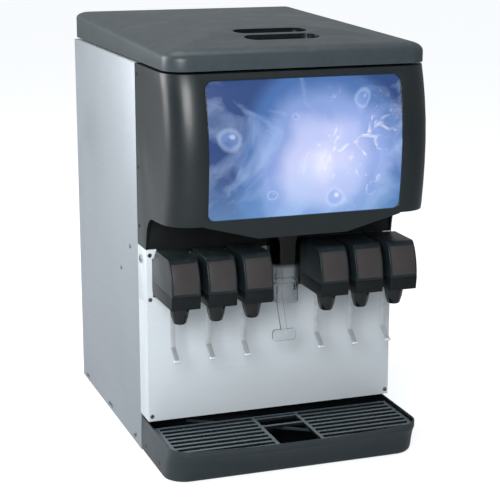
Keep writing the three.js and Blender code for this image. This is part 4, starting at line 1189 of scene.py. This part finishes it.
side_low = corners("side_panel_left")[0]
SIDE_SCREWS = ((-80, 444), (0, 378), (366, 13), (130, 16), (-98, 20))
screws("screws_left", [("left", side_low.x, y, z) for y, z in SIDE_SCREWS], "cabinet")
right_x = corners("side_panel_right")[1].x
screws("screws_right", [("right", right_x, y, z) for y, z in SIDE_SCREWS], "cabinet", 0.5)
splash_screws = [("front", x, splash_low.y, z) for x in (-272, 272) for z in (452, 356, 97)]
screws("screws_splash", splash_screws, "cabinet", 0.8)

bonnet_sides = (("left", bonnet_low.x), ("right", bonnet_high.x))
bonnet_screws = [(side, x, -157, z) for side, x in bonnet_sides for z in (825, 631, 506)]
screws("screws_bonnet", bonnet_screws, "cabinet", 0.4, BLACK_PLASTIC)

tray_sides = (("left", -279), ("right", 279))
tray_screws = [(side, x, y, z) for side, x in tray_sides for y, z in ((-175.5, 20), (-283, 22))]
screws("screws_tray", tray_screws, "cabinet", 0.5, GLOSS_PLASTIC)

# %% [markdown]
# ### Black strip over the splash
# A black strip stands in the gap between the splash's top edge and the bonnet, behind the valves. It is a
# dark piece put there as painted shade, for the shadow under the bonnet. It is a flat bar with rounded edges.

# %% Black strip as painted shade
SHADE_STRIP = {"high": 11, "thick": 1.6, "from_end": 22}
shade_strip = block(
    "splash_shade_strip",
    (splash_low.x + SHADE_STRIP["from_end"], splash_low.y - SHADE_STRIP["thick"] / 2, splash_high.z - SHADE_STRIP["high"]),
    (splash_high.x - SHADE_STRIP["from_end"], splash_low.y + SHADE_STRIP["thick"] / 2, splash_high.z + 1),
)
soften(shade_strip, 0.4, 3, 40)
hand_over(shade_strip, BLACK_PLASTIC, "cabinet")

# %% [markdown]
# ### Ventilation slots
# Short slots with round ends at the foot of each side let air in. Each is lined by a thin black rim. The rim
# is a flat block with its upright corners rounded and the middle of its outer face sunk. That black sunk
# middle is painted shade for the dark inside of the slot, so that it reads as an opening without cutting the
# sheet.

# %% Ventilation slots at the foot of each side
SLOT = {"z": 12, "half": 7, "half_high": 3, "corner": 2.9, "edge": 1.0, "sunk": 0.7}
SLOT_PLACES = (-86, 118, 142, 354)
for side, x, out in (("left", side_low.x, -1), ("right", right_x, 1)):
    rims = []
    for y in SLOT_PLACES:
        low_x, high_x = sorted((x - 0.4 * out, x + 0.5 * out))
        rim = block(
            "slot_rim",
            (low_x, y - SLOT["half"], SLOT["z"] - SLOT["half_high"]),
            (high_x, y + SLOT["half"], SLOT["z"] + SLOT["half_high"]),
        )
        pick(rim, "EDGE", lambda at, way: abs(way.x) > 0.9)
        round_edges(SLOT["corner"], 5)
        pick(rim, "FACE", lambda at, normal: normal.x * out > 0.9)
        inset(SLOT["edge"])
        push(-SLOT["sunk"] * out, 0, 0)
        rims.append(rim)
    hand_over(joined("vent_slots_" + side, rims), BLACK_PLASTIC, "cabinet")

# %% [markdown]
# ## Beverage valves
# Six valves stand in two groups of three. Each has a moulded cover whose front runs down in one curve,
# with a recessed plate on it for a flavour's card. The card is left plain. The plate's frame follows the
# cover's own curve: a thin slab is extruded along it, its face is inset and pushed in, and a second,
# thinner slab lies in the recess as the card.

# %% Curve of a cover's front
VALVE_CENTRES = (-239.1, -161.3, -83.5, 83.5, 161.3, 239.1)
FACE_CURVE = ((-361, 399), (-361, 425), (-353, 452), (-341, 467))
CURVE_STEPS = 14


def on_face(step):
    """A point (y, z) of the cover's front, a cubic curve from its seam to its top."""
    t = step / CURVE_STEPS
    weights = ((1 - t) ** 3, 3 * t * (1 - t) ** 2, 3 * t * t * (1 - t), t**3)
    return tuple(sum(w * p[axis] for w, p in zip(weights, FACE_CURVE)) for axis in (0, 1))


def curved_slab(name, half, proud, thick, first=0, last=CURVE_STEPS):
    """A slab that follows the front's curve, standing proud of it."""
    y, z = on_face(first)
    slab = block(name, (-half, y - proud, z), (half, y - proud + thick, z + 0.8))
    pick(slab, "FACE", lambda at, normal: normal.z > 0.9)
    at = (y, z + 0.8)
    for step in range(first + 1, last + 1):
        y, z = on_face(step)
        push(0, y - at[0], z - at[1])
        at = (y, z)
    let_go()
    return slab


# %% One frame and one card, then a copy of each on every cover
FRAME_HALF = 29.4
FRAME_EDGE = 2.4
frame_master = curved_slab("frame", FRAME_HALF, 1.3, 2.4)
pick(frame_master, "FACE", lambda at, normal: normal.y < -0.4)
inset(FRAME_EDGE)
push(0, 0.9, 0)
let_go()
soften(frame_master, 0.35, 2, 40)
card_master = curved_slab("card", FRAME_HALF - FRAME_EDGE - 0.5, 0.75, 0.6, 1, CURVE_STEPS - 1)
soften(card_master, 0.2, 2, 50)
for number, x in enumerate(VALVE_CENTRES, 1):
    cover = fine(f"valve_cover_{number}", f"valve_cover_{number}_moulding", 1.1, 3, 0.3)
    hand_over(cover, VALVE_PLASTIC, "cabinet", (f"valve_cover_{number}",))
    edge = twin(frame_master, f"card_frame_{number}", x)
    hand_over(edge, VALVE_PLASTIC, "cabinet", outwards=True)
    card = twin(card_master, f"flavour_card_{number}", x)
    hand_over(card, PLATE_FILM, "cabinet", outwards=True)
bpy.data.objects.remove(frame_master)
bpy.data.objects.remove(card_master)

# %% [markdown]
# ### Nozzles
# A nozzle is moulded with flats all round so that a wet hand can twist it off. A circle with few
# sides, extruded and scaled ring by ring, gives the flats at once, and they stay crisp because the
# shading only smooths across shallow angles.

# %% One nozzle and its copies
NOZZLE_Y = -311
NOZZLE_SIDES = 9
NOZZLE_RINGS = ((12.6, 331), (14, 333), (18.4, 348), (20.2, 359), (20.5, 361), (20.5, 369.6), (19.4, 370.6))
NOZZLE_MOUTH = ((9, 331), (7.6, 333.5), (6.4, 343))

let_go()
bpy.ops.mesh.primitive_circle_add(vertices=NOZZLE_SIDES, radius=NOZZLE_RINGS[0][0] * MM)
nozzle = bpy.context.object
nozzle.location = mm(0, 0, NOZZLE_RINGS[0][1])
settle(nozzle)


def climb(rings):
    """Extrudes the selected edge loop through (radius, height) rings about the nozzle's axis."""
    radius, height = rings[0]
    for wider, higher in rings[1:]:
        bpy.ops.mesh.extrude_edges_move(TRANSFORM_OT_translate={"value": mm(0, 0, higher - height)})
        grow(wider / radius, wider / radius, 1, (0, 0, higher))
        radius, height = wider, higher


pick_all(nozzle)
climb(NOZZLE_RINGS)
bpy.ops.mesh.edge_face_add()
pick(nozzle, "VERT", lambda at: abs(at.z - NOZZLE_RINGS[0][1]) < 0.2 and at.xy.length > 11)
climb((NOZZLE_RINGS[0], *NOZZLE_MOUTH))
bpy.ops.mesh.edge_face_add()
let_go()
soften(nozzle, 0.5, 2, 24)
for number, x in enumerate(VALVE_CENTRES, 1):
    copy = twin(nozzle, f"nozzle_{number}", x, NOZZLE_Y, 0)
    source = f"valve_nozzle_{number}"
    hand_over(copy, GLOSS_PLASTIC, "cabinet", (source,), outwards=True)
    body = fine(f"valve_body_{number}", f"valve_block_{number}", 0.8, 2, 0.5)
    hand_over(body, BLACK_PLASTIC, "cabinet", (f"valve_body_{number}",))
bpy.data.objects.remove(nozzle)

# %% [markdown]
# ### Cup levers
# A cup is pushed against a flat strap that hangs behind the nozzle. Its lower end kicks forward and is
# rolled over, so that it can't scratch a cup. The strap keeps the frame's shape; the rolled end is a
# short bar with domed ends, laid across the tip.

# %% Levers with a rolled end
ROLL = {"radius": 3.1, "half": 6.4}
for number, x in enumerate(VALVE_CENTRES, 1):
    strap = fine(f"valve_lever_{number}", "strap", 0.7, 3, 0.5)
    tip = min((v.co / MM for v in strap.data.vertices), key=lambda p: p.z)
    bar_from = (x - ROLL["half"], tip.y + 0.6, tip.z + 1.6)
    bar = rod("rolled_end", "x", ROLL["radius"], bar_from, 2 * ROLL["half"], 20)
    pick(bar, "EDGE", lambda at, way: abs(at.x - x) > ROLL["half"] - 0.1)
    round_edges(1.4, 4)
    let_go()
    lever = joined(f"cup_lever_{number}", [strap, bar])
    hand_over(lever, LEVER_STEEL, f"valve_lever_{number}", (f"valve_lever_{number}",))
    # Painted highlight: the rolled tip gets the brighter finish.
    also_paint(lever, LEVER_TIP_HIGHLIGHT, lambda at, normal: at.z < tip.z + 5)

# %% [markdown]
# ## Ice chute and ice lever
# Both are clear plastic, so what shows is their edges. Each gets a round edge of its own, the lever the
# larger one, because a round edge of clear plastic gathers a bright line. The lever's cut edges look
# nearly black, because what enters them leaves elsewhere, so they have a dark clear finish of their own.

# %% Clear pieces
ice_chute = fine("ice_chute", "ice_chute_clear", 0.9, 3, 0.3)
hand_over(ice_chute, CHUTE_PLASTIC, "cabinet", ("ice_chute",))
ice_lever = fine("ice_lever", "ice_lever_clear", 1.6, 3, 0.3)
hand_over(ice_lever, LEVER_PLASTIC, "ice_lever", ("ice_lever",))
also_paint(ice_lever, LEVER_EDGE, lambda at, normal: abs(normal.y) < 0.7)

# %% [markdown]
# ## Display and its trim
# The display is a thin printed sheet held in a dark foil trim. Both follow the bonnet's bow, which the
# frame's nodes have already, so each is a fine copy with small edges.

# %% Display sheet and trim
sheet = fine("display_panel", "display_sheet", 0.5, 2, 0.3)
hand_over(sheet, DISPLAY, "cabinet", ("display_panel",))
trim = fine("display_bezel", "display_trim", 0.4, 2, 0.3)
hand_over(trim, TRIM_FOIL, "cabinet", ("display_bezel",))

# %% [markdown]
# ## Gasket under the lid
# A strip of soft rubber lies on the cabinet's top edge. It closes the gap under the lid and is what
# makes that gap look black. It is a flat frame: a slab whose middle is inset and taken out.

# %% Gasket
GASKET = {"inside": 9, "wide": 12, "low": 846.3, "high": 850.4, "front": -128, "rear": 378, "corner": 14}
gasket = block(
    "lid_gasket",
    (lid_low.x + GASKET["inside"], GASKET["front"], GASKET["low"]),
    (lid_high.x - GASKET["inside"], GASKET["rear"], GASKET["high"]),
)
pick(gasket, "EDGE", lambda at, way: abs(way.z) > 0.9)
round_edges(GASKET["corner"], 6)
pick(gasket, "FACE", lambda at, normal: abs(normal.z) > 0.9)
inset(GASKET["wide"])
bpy.ops.mesh.bridge_edge_loops()
let_go()
soften(gasket, 1.1, 3, 50)
hand_over(gasket, GASKET_RUBBER, "cabinet", outwards=True)

# %% [markdown]
# ## Key switch
# The key switch sits low on the left side, in a round polished collar. Its plug turns with the key, and
# the slot for the key shows which way it stands.

# %% Key collar and plug
collar = fine("key_switch_body", "key_collar", 0.5, 3, 0.3)
hand_over(collar, POLISHED, "cabinet", ("key_switch_body",))
key_plug = fine("key_cylinder", "key_plug", 0.3, 2, 0.3)
hand_over(key_plug, SCREW_STEEL, "key_cylinder", ("key_cylinder",))

# %% [markdown]
# ## Louvres at the rear
# Warm air leaves the gearmotor's space through pressed louvres in the rear panel. A louvre is a shallow
# blister, open below. One is a block with its outer edges rounded and its underside pushed in, and the
# rest are copies.

# %% Louvres
rear_high = corners("rear_panel")[1]
LOUVRE = {"half": 42, "deep": 5.5, "high": 12, "pitch": 22, "rows": 7, "from": 240, "columns": (-130, 130)}
louvre = block(
    "louvre",
    (-LOUVRE["half"], rear_high.y - 0.6, 0),
    (LOUVRE["half"], rear_high.y + LOUVRE["deep"], LOUVRE["high"]),
)
pick(louvre, "EDGE", lambda at, way: abs(way.z) < 0.5 and at.y > rear_high.y and at.z > 6)
round_edges(5, 5)
pick(louvre, "FACE", lambda at, normal: normal.z < -0.9)
inset(1.0)
push(0, 0, 6)
let_go()
louvres = []
for x in LOUVRE["columns"]:
    for row in range(LOUVRE["rows"]):
        louvres.append(twin(louvre, "louvre_copy", x, 0, LOUVRE["from"] + row * LOUVRE["pitch"]))
bpy.data.objects.remove(louvre)
louvre_set = joined("rear_louvres", louvres)
hand_over(louvre_set, PANEL_STEEL_LIT, "cabinet", outwards=True)
rear_screws = [("rear", x, rear_high.y, z) for x in (-255, 0, 255) for z in (30, 430, 815)]
screws("screws_rear", rear_screws, "cabinet")

# %% [markdown]
# ## What works inside
# The remaining nodes are working parts that show when the lid is open or not at all. Their shapes are
# right as they are, so each only gets its finish.

# %% Finishes of the inner nodes
INNER_FINISHES = (
    # The inner panel is made near black, as dark as the space under the bonnet looks.
    (PAINTED_STEEL, ("inner_panel",)),
    (INNER_STEEL, ("electrical_box", "ice_lever_bracket", "ice_gate", "gate_pushrod")),
    (INNER_STEEL, ("hinge_bracket_left", "hinge_bracket_right", "lamp_housing")),
    (POLISHED, ("hinge_pin_left", "hinge_pin_right", "ice_lever_shaft")),
    (WHITE_PLASTIC, ("agitator",)),
    (BLACK_PLASTIC, ("agitator_bearing",)),
    (GREY_PLASTIC, ("drain_fitting",)),
    (LAMP, ("lamp_tubes",)),
    (PAINTED_STEEL, ("gearmotor",)),
    (FOAM, ("insulation",)),
    (CASTING, ("cold_plate",)),
)
for paint, names in INNER_FINISHES:
    for name in names:
        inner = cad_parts[name]
        if not inner.material_slots:
            inner.data.materials.append(None)
        for place in inner.material_slots:
            place.material = paint
print("inner nodes finished:", sum(len(names) for _, names in INNER_FINISHES))

# %% [markdown]
# ## Last step
# Nothing is left selected at the end.

# %% Let go of the last piece
let_go()
